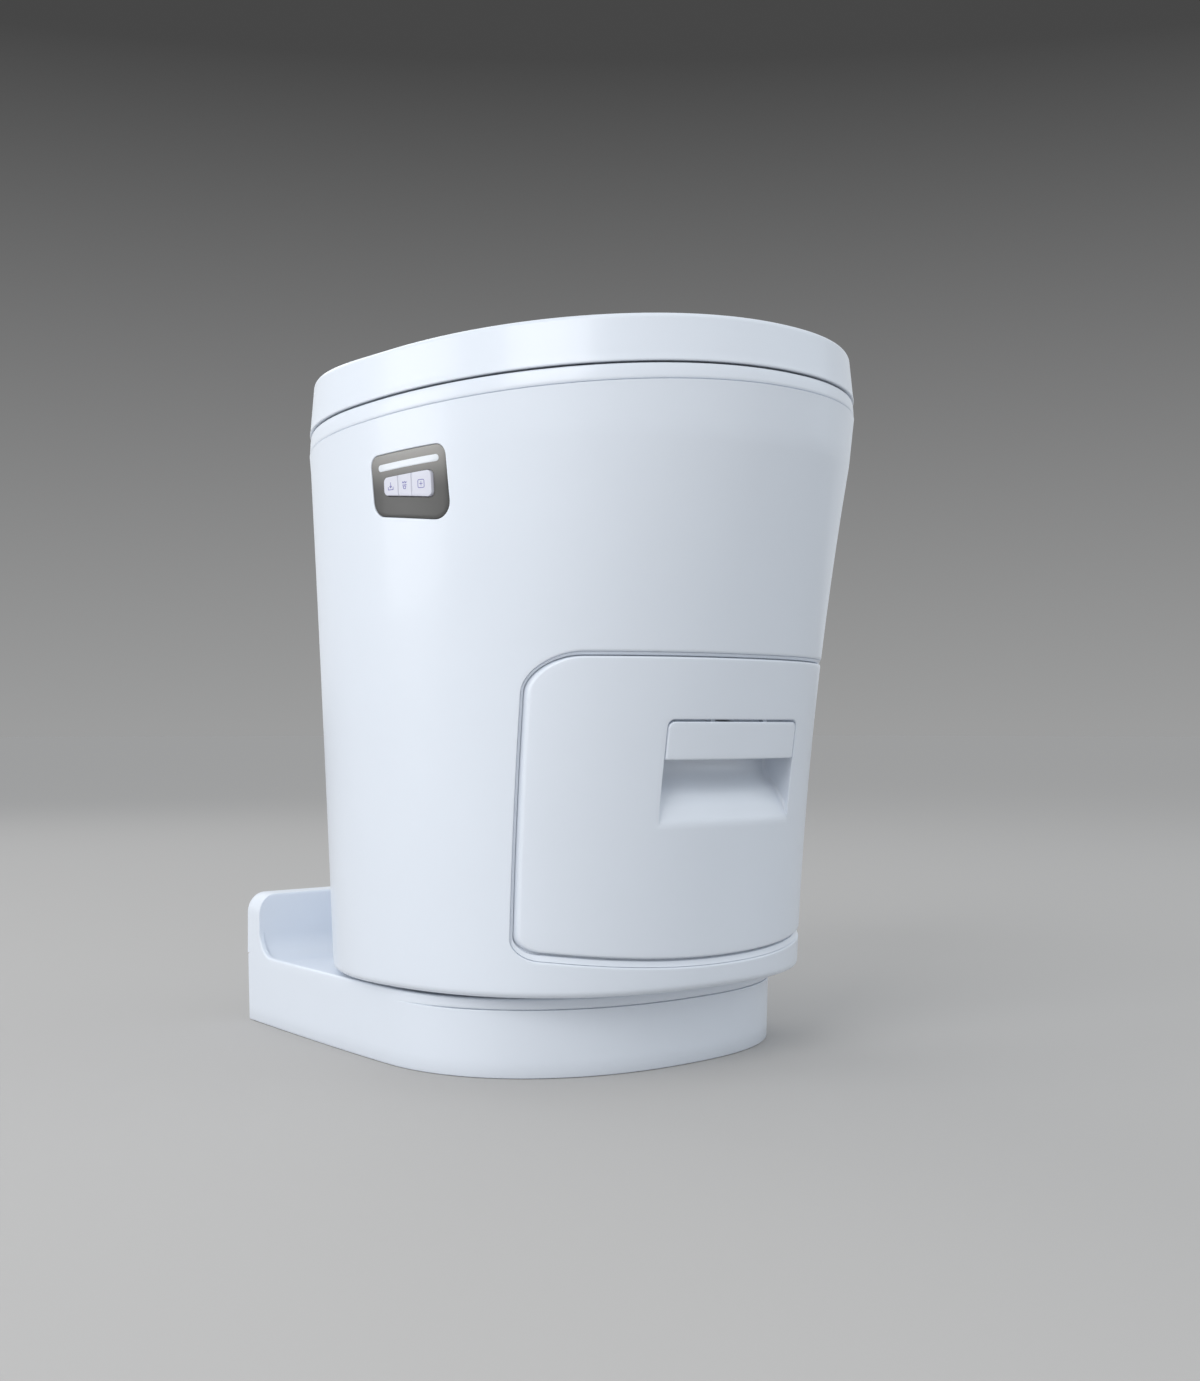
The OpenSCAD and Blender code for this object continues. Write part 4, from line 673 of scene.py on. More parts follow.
@dataclass(frozen=True)
class Finish:
    """A solid finish: colour with a slight cloudiness, roughness that varies a little, and a fine relief.

    The colour runs between two close tones by a slow noise over Object coordinates. The relief is a finer
    noise whose height is given in millimetres. Where a second colour is given, the colour runs from it at the
    lower height to the first one at the upper height: a painted reflection that makes the finish lighter towards
    the top.
    """

    name: str
    colour: Triple
    roughness: float = 0.25
    metallic: float = 0.0
    cloud: float = 0.02
    cloud_scale: float = 14.0
    grain_scale: float = 900.0
    grain_mm: float = 0.01
    grain_strength: float = 0.3
    rough_spread: float = 0.04
    coat: float = 0.0
    ior: float = 1.47
    stretch: Triple = (1.0, 1.0, 1.0)
    # A second, lower colour and the heights over which it fades into the first: a painted reflection, lighter towards
    # the top.
    low_colour: Triple | None = None
    painted_reflection_mm: Pair = (0.0, 1.0)
    cloud_detail: float = 3.0
    grain_detail: float = 2.0
    least_rough: float = 0.02
    ramp_ends: Pair = (0.3, 0.7)

    def make(self) -> Material:
        """Builds the node tree.

        Returns:
            The material.
        """
        material = bpy.data.materials.new(self.name)
        material.use_nodes = True
        tree = material.node_tree
        shader = tree.nodes["Principled BSDF"]
        place = add_node(tree, "ShaderNodeTexCoord")
        turn = add_node(tree, "ShaderNodeMapping", {"Scale": self.stretch})
        link(tree, place.outputs["Object"], turn.inputs["Vector"])
        cloud = add_node(tree, "ShaderNodeTexNoise", {"Scale": self.cloud_scale, "Detail": self.cloud_detail})
        link(tree, turn.outputs["Vector"], cloud.inputs["Vector"])
        tone = self.ramp(tree, self.colour)
        link(tree, cloud.outputs["Fac"], tone.inputs["Fac"])
        colour = tone.outputs["Color"]
        # A second colour adds the painted reflection: the colour is lighter towards the top.
        if self.low_colour is not None:
            colour = self.painted_reflection_fade(tree, place.outputs["Object"], cloud.outputs["Fac"], colour)
        link(tree, colour, shader.inputs["Base Color"])
        grain = add_node(tree, "ShaderNodeTexNoise", {"Scale": self.grain_scale, "Detail": self.grain_detail})
        link(tree, turn.outputs["Vector"], grain.inputs["Vector"])
        spread = add_node(tree, "ShaderNodeMapRange", {
            "To Min": max(self.least_rough, self.roughness - self.rough_spread),
            "To Max": min(1, self.roughness + self.rough_spread)})
        link(tree, cloud.outputs["Fac"], spread.inputs["Value"])
        link(tree, spread.outputs["Result"], shader.inputs["Roughness"])
        relief = add_node(tree, "ShaderNodeBump", {"Strength": self.grain_strength, "Distance": self.grain_mm * MM})
        link(tree, grain.outputs["Fac"], relief.inputs["Height"])
        link(tree, relief.outputs["Normal"], shader.inputs["Normal"])
        set_inputs(shader, {"Metallic": self.metallic, "IOR": self.ior, "Coat Weight": self.coat})
        return material

    def ramp(self, tree: Tree, colour: Triple) -> Node:
        """Makes a ramp between two close tones of a colour.

        Args:
            tree: Node tree that takes the ramp.
            colour: The colour.

        Returns:
            The ramp.
        """
        ramp = add_node(tree, "ShaderNodeValToRGB")
        ends = ramp.color_ramp.elements
        ends[0].position, ends[1].position = self.ramp_ends
        ends[0].color = (*[c * (1 - self.cloud) for c in colour], 1)
        ends[1].color = (*[min(1, c * (1 + self.cloud)) for c in colour], 1)
        return ramp

    def painted_reflection_fade(self, tree: Tree, place: Socket, cloud: Socket, high: Socket) -> Socket:
        """Fades the colour over the height, eased at both ends: a painted reflection that lightens it towards the
        top.

        Args:
            tree: Node tree that takes the nodes.
            place: Object coordinates.
            cloud: Factor of the cloudiness.
            high: The upper colour.

        Returns:
            The faded colour.
        """
        low = self.ramp(tree, self.low_colour)
        link(tree, cloud, low.inputs["Fac"])
        split = add_node(tree, "ShaderNodeSeparateXYZ")
        link(tree, place, split.inputs["Vector"])
        height = add_node(tree, "ShaderNodeMapRange", {
            "From Min": self.painted_reflection_mm[0] * MM, "From Max": self.painted_reflection_mm[1] * MM})
        height.interpolation_type = "SMOOTHSTEP"
        link(tree, split.outputs["Z"], height.inputs["Value"])
        mix = add_node(tree, "ShaderNodeMix")
        mix.data_type = "RGBA"
        # Sockets 6 and 7 are its two colours; their names are shared with other sockets of the node.
        link(tree, height.outputs["Result"], mix.inputs[0])
        link(tree, low.outputs["Color"], mix.inputs[6])
        link(tree, high, mix.inputs[7])
        return mix.outputs[2]


class Tone(Enum):
    """The finishes of the toilet."""

    WHITE = Finish("white_gloss", (0.76, 0.81, 0.885), roughness=0.3, cloud=0.006, grain_scale=420, grain_mm=0.02,
                   grain_strength=0.06, rough_spread=0.02, coat=0.12)
    INNER = Finish("white_matte", (0.66, 0.68, 0.71), roughness=0.5, cloud=0.015, grain_scale=1400, grain_mm=0.03)
    KEY = Finish("button_white", (0.66, 0.67, 0.76), roughness=0.35, cloud=0.01, grain_scale=1600)
    # The panel's own dark grey is the lower colour; the lighter grey towards the top is a painted reflection.
    PANEL = Finish("panel_grey", (0.32, 0.312, 0.297), roughness=0.34, grain_scale=1500, grain_mm=0.012,
                   coat=0.1, low_colour=(0.064, 0.063, 0.061), painted_reflection_mm=(398.0, 432.0))
    LIGHT = Finish("light_white", (0.74, 0.78, 0.83), roughness=0.28, cloud=0.004, grain_mm=0.004, coat=0.3)
    INK = Finish("icon_violet", (0.14, 0.13, 0.42), roughness=0.45, cloud=0.03, grain_scale=2500, grain_mm=0.005)
    DARK = Finish("dark_plastic", (0.020, 0.021, 0.023), roughness=0.55, cloud=0.06, grain_scale=1800, grain_mm=0.06,
                  grain_strength=0.5)
    GREY = Finish("bin_grey", (0.10, 0.105, 0.11), roughness=0.5, cloud=0.04, grain_scale=1500, grain_mm=0.05,
                  grain_strength=0.5)
    FILM = Finish("film_white", (0.70, 0.74, 0.80), roughness=0.3, cloud=0.05, cloud_scale=60, grain_scale=300,
                  grain_mm=0.3, grain_strength=0.5)
    RUBBER = Finish("black_rubber", (0.018, 0.018, 0.018), roughness=0.75, cloud=0.1, grain_scale=2200, grain_mm=0.05,
                    grain_strength=0.6)
    BOARD = Finish("board_green", (0.015, 0.09, 0.035), roughness=0.4, cloud=0.1, cloud_scale=200, grain_mm=0.02)
    ZINC = Finish("zinc_steel", (0.52, 0.53, 0.55), roughness=0.38, metallic=1.0, cloud=0.12, cloud_scale=90,
                  grain_scale=700, grain_mm=0.02, rough_spread=0.1)
    BRIGHT = Finish("bright_steel", (0.58, 0.58, 0.59), roughness=0.26, metallic=1.0, cloud=0.05, grain_mm=0.02,
                    rough_spread=0.08, stretch=(1, 1, 12))
    JAW = Finish("jaw_aluminium", (0.70, 0.71, 0.73), roughness=0.34, metallic=1.0, cloud=0.04, grain_scale=500,
                 grain_mm=0.03, rough_spread=0.08, stretch=(8, 1, 1))
    MOTOR = Finish("motor_steel", (0.03, 0.03, 0.032), roughness=0.42, cloud=0.08, grain_scale=1200, grain_mm=0.03)

    def __init__(self, finish: Finish) -> None:
        """Keeps the finish; its material is made when it is first asked for."""
        self.finish = finish
        self.made: Material | None = None

    @property
    def material(self) -> Material:
        """The material of this finish."""
        if self.made is None:
            self.made = self.finish.make()
        return self.made


# -------- body shell


@dataclass(frozen=True)
class Window:
    """Opening in the body shell: its outline, its rounded edge, and the loops of the flange behind it."""

    face: Face
    outline: Outline
    lip_r: float
    grow: float = 0.0
    flange: tuple[tuple[Outline, float], ...] = ()
    inner: Outline | None = None


@dataclass
class Shell:
    """Body shell: one closed wall with a window for the drawer front and one for the key panel."""

    wall: float = 3.0
    edge_r: float = 5.0
    level_top: float = 430.1
    row_step: float = 3.6
    floor_hole_r: float = 129.0
    edge_steps: int = 8
    lip_steps: int = 6
    margin: float = 5.0
    floor_shares: Pair = (0.0, 0.5)
    seam_shares: tuple[float, ...] = (0.25, 0.5, 0.75, 0.93)
    seam_edge: tuple[Pair, ...] = ((0.0, 0.45), (0.3, 0.12), (0.8, 0.0))
    fill_shares: Triple = (0.35, 0.7, 0.9)
    windows: tuple[Window, ...] = (
        Window(Face.FRONT, DOOR.outline(*DOOR.groove), 1.8, flange=tuple(DOOR.flange()), inner=DOOR.skirt()),
        Window(Face.PANEL, PANEL.plate, 0.6, grow=0.3))

    def profile(self, inset: float, t: Array) -> tuple[Array, Array]:
        """Works out the rows of one skin from the floor's hole up to the top seam.

        The bottom edge is a quarter circle, the wall follows the form, and the last rows blend from the level
        row into the seam, which falls towards the rear.

        Args:
            inset: 0 for the outer skin, the wall's thickness for the inner one.
            t: Angles of the columns.

        Returns:
            Rows x columns x 3 points, and the height of each level row (NaN for the others).
        """
        radius, low = self.edge_r - inset, FORM.low_z + inset
        rows, heights = [], []
        edge_x, edge_y = FORM.outline(t, FORM.share(low), self.edge_r)
        turn = np.arctan2(edge_y, edge_x)
        hole = self.floor_hole_r * np.stack([np.cos(turn), np.sin(turn)], -1)
        for q in self.floor_shares:
            rows.append(np.insert(hole * (1 - q) + np.stack([edge_x, edge_y], -1) * q, 2, low, axis=1))
            heights.append(np.nan)
        for back, up in quarter(radius, self.edge_steps):
            rows.append(FORM.wall(t, low + up, inset + back))
            heights.append(low + up)
        start = FORM.low_z + self.edge_r
        count = int(round((self.level_top - start) / self.row_step))
        for z in np.linspace(start, self.level_top, count + 1)[1:]:
            rows.append(FORM.wall(t, z, inset))
            heights.append(z)
        base, top = rows[-1], FORM.top(t, FORM.high_z, FORM.seam_fall, inset)
        ends = [base * (1 - q) + top * q for q in self.seam_shares]
        if inset == 0:
            ends += [FORM.top(t, FORM.high_z - drop, FORM.seam_fall, back) for back, drop in self.seam_edge]
        else:
            ends.append(top)
        return np.stack(rows + ends), np.array(heights + [np.nan] * len(ends))

    def cells(self, points: Array, heights: Array, window: Window) -> Counts:
        """Finds the rectangle of rows and columns that holds a window with a margin.

        Args:
            points: Rows x columns x 3 points of the outer skin.
            heights: Height of each level row.
            window: The window.

        Returns:
            First and last row, first and last column.
        """
        u0, u1, v0, v1 = window.outline.box()
        level = np.nan_to_num(heights, nan=-math.inf)
        j0 = int(np.where((level > 0) & (level < v0 - self.margin))[0].max())
        over = np.where(level > v1 + self.margin)[0]
        j1 = int(over.min()) if len(over) else int(np.argmax(level))
        rows = points[j0:j1 + 1]
        along = window.face.flatten(rows)[..., 0]
        inside = window.face.faces(rows) & (along > u0 - self.margin) & (along < u1 + self.margin)
        columns = np.where(inside.any(axis=0))[0]
        return j0, j1, int(columns.min()) - 1, int(columns.max()) + 1

    def frame_window(self, draft: Draft, window: Window, counts: Counts, outer: Array, inner: Array) -> None:
        """Fills the frame between a rectangle of grid points and a window, in both skins, and its flange.

        The fill's loops are blends, in the window's plane, of the grid's loop and the window's outline.

        Args:
            draft: The mesh.
            window: The window.
            counts: Points on the lower, right, upper and left side of the loops.
            outer: Loop of the outer skin, points x 3.
            inner: Loop of the inner skin.
        """
        outline, normal = window.outline.trace(counts)
        outline = outline + normal * window.grow
        step = window.face.steps(outline, normal)
        flat, edge = window.face.flatten(outer), outline + step * window.lip_r
        loops = [outer]
        loops += [window.face.place(flat * (1 - q) + edge * q, 0.0) for q in self.fill_shares]
        loops += window.face.rim(outline, step, window.lip_r, self.lip_steps)
        loops += [window.face.place(shape.trace(counts)[0], depth) for shape, depth in window.flange]
        skirt = outline if window.inner is None else window.inner.trace(counts)[0]
        loops.append(window.face.place(skirt, self.wall))
        draft.grid(loops, wrap=True)
        draft.grid([inner, loops[-1]], wrap=True, flip=True)

    def build(self) -> None:
        """Builds the shell in place of its node."""
        t = FORM.even_angles()
        outer, heights = self.profile(0.0, t)
        inner, _ = self.profile(self.wall, t)
        draft = Draft()
        masks = [np.zeros((len(skin) - 1, len(t)), bool) for skin in (outer, inner)]
        for window in self.windows:
            j0, j1, i0, i1 = self.cells(outer, heights, window)
            counts = (i1 - i0, j1 - j0, i1 - i0, j1 - j0)
            for mask in masks:
                mask[j0:j1, i0:i1] = True
            loops = [np.concatenate([skin[j0, i0:i1], skin[j0:j1, i1], skin[j1, i1:i0:-1], skin[j1:j0:-1, i0]])
                     for skin in (outer, inner)]
            self.frame_window(draft, window, counts, *loops)
        draft.grid(outer, wrap=True, skip=masks[0])
        draft.grid(inner, wrap=True, skip=masks[1], flip=True)
        draft.grid([outer[-1], inner[-1]], wrap=True)
        draft.grid([inner[0], outer[0]], wrap=True)
        put(draft.build("shell_skin"), "toilet", "white_gloss", Tone.WHITE.material, "body_shell")


# -------- deck, seat and lid


@dataclass(frozen=True)
class Hinge:
    """Hinge at the rear, with four places for knuckles on each side."""

    y: float = 188.5
    z: float = 458.6
    knuckle_r: float = 5.6
    first_x: float = 10.0
    width: float = 9.0
    gap: float = 0.5
    pin_r: float = 3.0
    running: float = 0.05
    bevel: float = 0.5
    play: float = 0.1
    steps: int = 40

    def span(self, index: int, mirror: int) -> Pair:
        """Works out where a knuckle lies across.

        Args:
            index: Its place, 0 for the innermost.
            mirror: 1 or -1 for the side.

        Returns:
            Its lowest and highest x.
        """
        x0 = self.first_x + index * (self.width + self.gap)
        low, high = sorted((mirror * x0, mirror * (x0 + self.width)))
        return low, high

    def knuckle(self, draft: Draft, index: int, mirror: int) -> None:
        """Adds a bored knuckle: circles round the pin, through the bore and over the bevelled outside.

        Args:
            draft: The mesh.
            index: Its place.
            mirror: 1 or -1 for the side.
        """
        low, high = self.span(index, mirror)
        turn = np.linspace(0, 2 * math.pi, self.steps, endpoint=False)
        bore, outer, soft = self.pin_r + self.running, self.knuckle_r, self.bevel
        stations = ((low, bore), (low, outer - soft), (low + soft, outer),
                    (high - soft, outer), (high, outer - soft), (high, bore))
        rings = [points_of(x, self.y + r * np.cos(turn), self.z + r * np.sin(turn)) for x, r in stations]
        draft.grid(rings, wrap=True, close=True)


HINGE = Hinge()


@dataclass
class Deck:
    """Deck: a convex bevelled band, the plate with the oval opening and the lip that locates it."""

    top_z: float = 462.8
    fall: float = 0.058
    seam_gap: float = 0.4
    plate: float = 4.0
    under_inset: float = 8.0
    opening: Oval = Oval(107.5, 135.5)
    band: tuple[Pair, ...] = (
        (0.0, 1.0), (0.025, 0.62), (0.08, 0.33), (0.2, 0.3), (0.35, 0.4), (0.52, 0.52), (0.7, 0.7), (0.82, 0.92),
        (0.91, 1.1), (0.97, 1.4), (0.995, 1.75), (1.0, 2.3))
    lip: tuple[Pair, ...] = ((0.0, 6.1), (-8.0, 7.7), (-8.0, 5.2), (0.4, 3.6))
    plate_shares: tuple[float, ...] = (0.25, 0.5, 0.75, 0.95)
    hole_edge: tuple[Pair, ...] = ((1.0, 0.0), (0.3, 0.3), (0.0, 1.0))

    def build(self) -> None:
        """Builds the deck in place of its node.

        The band's rows run from the seam up to the plate; height and fall of each row are blends of the seam's
        and the deck plane's. The rows go on over the plate to the opening, back under it and round the lip.
        """
        t = FORM.even_angles()
        low = FORM.high_z + self.seam_gap
        rows = [FORM.top(t, low + (self.top_z - low) * q, FORM.seam_fall + (self.fall - FORM.seam_fall) * q, inset)
                for q, inset in self.band]
        edge, hole = rows[-1], self.opening.ring(t, self.top_z, self.fall, self.hole_edge[0][0])
        rows += [edge * (1 - q) + hole * q for q in self.plate_shares]
        rows += [self.opening.ring(t, self.top_z - drop, self.fall, grow)
                 for grow, drop in (*self.hole_edge, (0.0, self.plate))]
        rows.append(FORM.top(t, self.top_z - self.plate, self.fall, self.under_inset))
        rows += [FORM.top(t, FORM.high_z + up, FORM.seam_fall, inset) for up, inset in self.lip]
        draft = Draft()
        draft.grid(rows, wrap=True, close=True)
        put(draft.build("deck_band"), "toilet", "white_gloss", Tone.WHITE.material, "deck")


@dataclass
class Seat:
    """Seat: a crowned ring whose rear is cut straight in front of the hinge, with its two arms."""

    low_z: float = 465.6
    thick: float = 21.0
    fall: float = 0.058
    inset: float = 8.2
    cut: float = 22.0
    opening: Oval = Oval(100.0, 128.0)
    arm_lap: float = 12.0
    arm_low: float = 1.5
    arm_high: float = 4.5
    cut_lean: float = 0.5
    crown_rows: int = 8
    crown: tuple[Pair, Pair] = ((12.0, 1.0), (14.0, 0.985))
    outer: tuple[Pair, ...] = (
        (2.2, 0.0), (0.9, 0.024), (0.2, 0.076), (0.0, 0.152), (0.0, 0.5), (0.5, 0.64), (1.6, 0.77), (3.4, 0.88),
        (6.0, 0.95), (9.5, 0.985))
    inner: tuple[Pair, ...] = (
        (10.0, 0.96), (6.5, 0.9), (3.8, 0.8), (1.8, 0.68), (0.5, 0.52), (0.0, 0.36), (0.0, 0.143), (0.4, 0.057),
        (1.6, 0.01), (3.0, 0.0))

    def outside(self, t: Array, grow: float, share: float) -> Array:
        """Works out a row of the outer side, cut straight at the rear.

        Args:
            t: Angles.
            grow: Distance that it is drawn in.
            share: Share of the thickness.

        Returns:
            Points x 3.
        """
        x, y = FORM.outline(t, 1.0, self.inset + grow)
        y = np.minimum(y, HINGE.y - self.cut - grow * self.cut_lean)
        return points_of(x, y, self.low_z + self.thick * share - self.fall * y)

    def inside(self, t: Array, grow: float, share: float) -> Array:
        """Works out a row of the opening, grown by a distance, at a share of the thickness."""
        return self.opening.ring(t, self.low_z + self.thick * share, self.fall, grow)

    def build(self) -> None:
        """Builds the seat in place of its node: rows round the ring's section, underside to crown and back."""
        t = FORM.even_angles()
        rows = [self.outside(t, grow, share) for grow, share in self.outer]
        edge, lip = self.outside(t, *self.crown[0]), self.inside(t, *self.crown[1])
        rows += [edge * (1 - q) + lip * q for q in np.linspace(0, 1, self.crown_rows + 1)]
        rows += [self.inside(t, grow, share) for grow, share in self.inner]
        draft = Draft()
        draft.grid(rows, wrap=True, close=True)
        for mirror in (-1, 1):
            HINGE.knuckle(draft, 1, mirror)
            low, high = HINGE.span(1, mirror)
            draft.block((low + HINGE.play, HINGE.y - self.cut - self.arm_lap, HINGE.z - self.arm_low),
                        (high - HINGE.play, HINGE.y - HINGE.pin_r - HINGE.play, HINGE.z + self.arm_high))
        put(draft.build("seat_ring_skin"), "seat_ring", "white_gloss", Tone.WHITE.material, "seat")


@dataclass
class Lid:
    """Lid: a shallow cap with a rolled rim, a rounded top edge and a notch at the hinge."""

    rim_z: float = 464.1
    height: float = 32.9
    fall: float = 0.058
    top_fall: float = 0.054
    wall: float = 3.2
    lean: float = 3.2
    edge_r: float = 4.0
    crown: float = 0.4
    notch_half: float = 51.5
    notch_z: float = 466.2
    lift: float = 8.0
    lift_start: float = -30.0
    lift_reach: float = 180.0
    rib_lift: float = 0.85
    rib_l: float = 7.0
    rib_low: float = 1.0
    rib_lap: float = 0.5
    inner_up: float = 0.2
    wall_rows: tuple[int, int] = (10, 5)
    edge_rows: tuple[int, int] = (11, 4)
    middle_y: float = -18.0
    top_shares: tuple[float, ...] = (0.04, 0.12, 0.25, 0.4, 0.55, 0.7, 0.85, 1.0)
    rim: tuple[Pair, ...] = (
        (1.0, 0.0), (0.55, 0.1), (0.28, 0.35), (0.2, 0.8), (0.25, 1.6), (0.42, 2.5), (0.62, 3.4))

    def ring(self, t: Array, inset: float, up: float) -> Array:
        """Works out a row of the lid, whose fall turns from the rim's to the top's and levels out at the rear.

        The rear rises by a smooth step along Y, and less towards the rim.

        Args:
            t: Angles.
            inset: Distance inside the body's outline.
            up: Height over the rim.

        Returns:
            Points x 3.
        """
        fall = self.fall + (self.top_fall - self.fall) * up / self.height
        points = FORM.top(t, self.rim_z + up, fall, inset)
        q = np.clip((points[:, 1] - self.lift_start) / self.lift_reach, 0, 1)
        points[:, 2] += self.lift * q * q * (3 - 2 * q) * max(0.0, (up - self.rim[-1][1]) / self.height)
        return points

    def cap_rows(self, edge: Array, drop: float) -> list[Array]:
        """Works out rows over the top, or under it by drop: blends with the middle, raised by c (1 - (1 - q)^2)."""
        middle = np.array([0.0, self.middle_y, self.rim_z + self.height - self.top_fall * self.middle_y - drop])
        return [edge * (1 - q) + middle * q + [0.0, 0.0, self.crown * (1 - (1 - q) ** 2)] for q in self.top_shares]

    def rows(self, t: Array) -> tuple[Array, Array, int, int]:
        """Works out the outer and the inner rows, from the rim up the wall, round the edge and over the top.

        Args:
            t: Angles.

        Returns:
            Outer rows, inner rows, and the number of each that belong to wall and edge.
        """
        level = self.height - self.edge_r
        start = self.rim[-1]
        outer = [self.ring(t, inset, up) for inset, up in self.rim]
        outer += [self.ring(t, start[0] + (self.lean - start[0]) * q, start[1] + (level - start[1]) * q)
                  for q in np.linspace(0, 1, self.wall_rows[0] + 1)[1:]]
        outer += [self.ring(t, self.lean + self.edge_r * (1 - math.cos(a)), level + self.edge_r * math.sin(a))
                  for a in np.linspace(0, QUARTER, self.edge_rows[0] + 1)[1:]]
        low, deep = self.inner_up, self.edge_r - self.wall
        inner = [self.ring(t, self.wall + self.lean * q, low + (level - low) * q)
                 for q in np.linspace(0, 1, self.wall_rows[1] + 1)]
        inner += [self.ring(t, self.wall + self.lean + deep * (1 - math.cos(a)), level + deep * math.sin(a))
                  for a in np.linspace(0, QUARTER, self.edge_rows[1] + 1)[1:]]
        return (np.stack(outer + self.cap_rows(outer[-1], 0.0)),
                np.stack(inner + self.cap_rows(inner[-1], self.wall)), len(outer), len(inner))

    def build(self) -> None:
        """Builds the lid in place of its node; cells at the notch are left open and their borders are joined."""
        t = FORM.even_angles()
        outer, inner, outer_count, inner_count = self.rows(t)
        draft = Draft()
        x, y = FORM.outline(t, 1.0, 0.0)
        columns = np.where((np.abs(x) < self.notch_half) & (y > 0))[0]
        i0, i1 = int(columns.min()) - 1, int(columns.max()) + 1
        tops = []
        for points, count in ((outer, outer_count), (inner, inner_count)):
            top = int((points[:count, (i0 + i1) // 2, 2] < self.notch_z).sum())
            points[top, i0:i1 + 1, 2] = self.notch_z
            tops.append(top)
            mask = np.zeros((len(points) - 1, len(t)), bool)
            mask[:top, i0:i1] = True
            draft.grid(points, wrap=True, skip=mask, flip=points is inner)
        rim_mask = np.zeros((1, len(t)), bool)
        rim_mask[0, i0:i1] = True
        draft.grid([inner[0], outer[0]], wrap=True, skip=rim_mask)
        draft.grid([outer[tops[0], i0:i1 + 1], inner[tops[1], i0:i1 + 1]], flip=True)
        for column, flip in ((i0, True), (i1, False)):
            out_edge, in_edge = outer[:tops[0] + 1, column], inner[:tops[1] + 1, column]
            draft.cap(np.concatenate([out_edge, in_edge[::-1]]), flip=flip)
        under = self.rim_z + self.height - self.wall - self.top_fall * HINGE.y + self.lift * self.rib_lift
        for mirror in (-1, 1):
            HINGE.knuckle(draft, 2, mirror)
            low, high = HINGE.span(2, mirror)
            draft.block((low + HINGE.play, HINGE.y - self.rib_l, HINGE.z + HINGE.pin_r + self.rib_low),
                        (high - HINGE.play, HINGE.y - self.rib_lap, under + self.rib_lap))
        put(draft.build("lid_skin"), "lid_cap", "white_gloss", Tone.WHITE.material, "lid")


# -------- drawer front


PADDLE_PIN: Pair = (-183.504, 240.5)


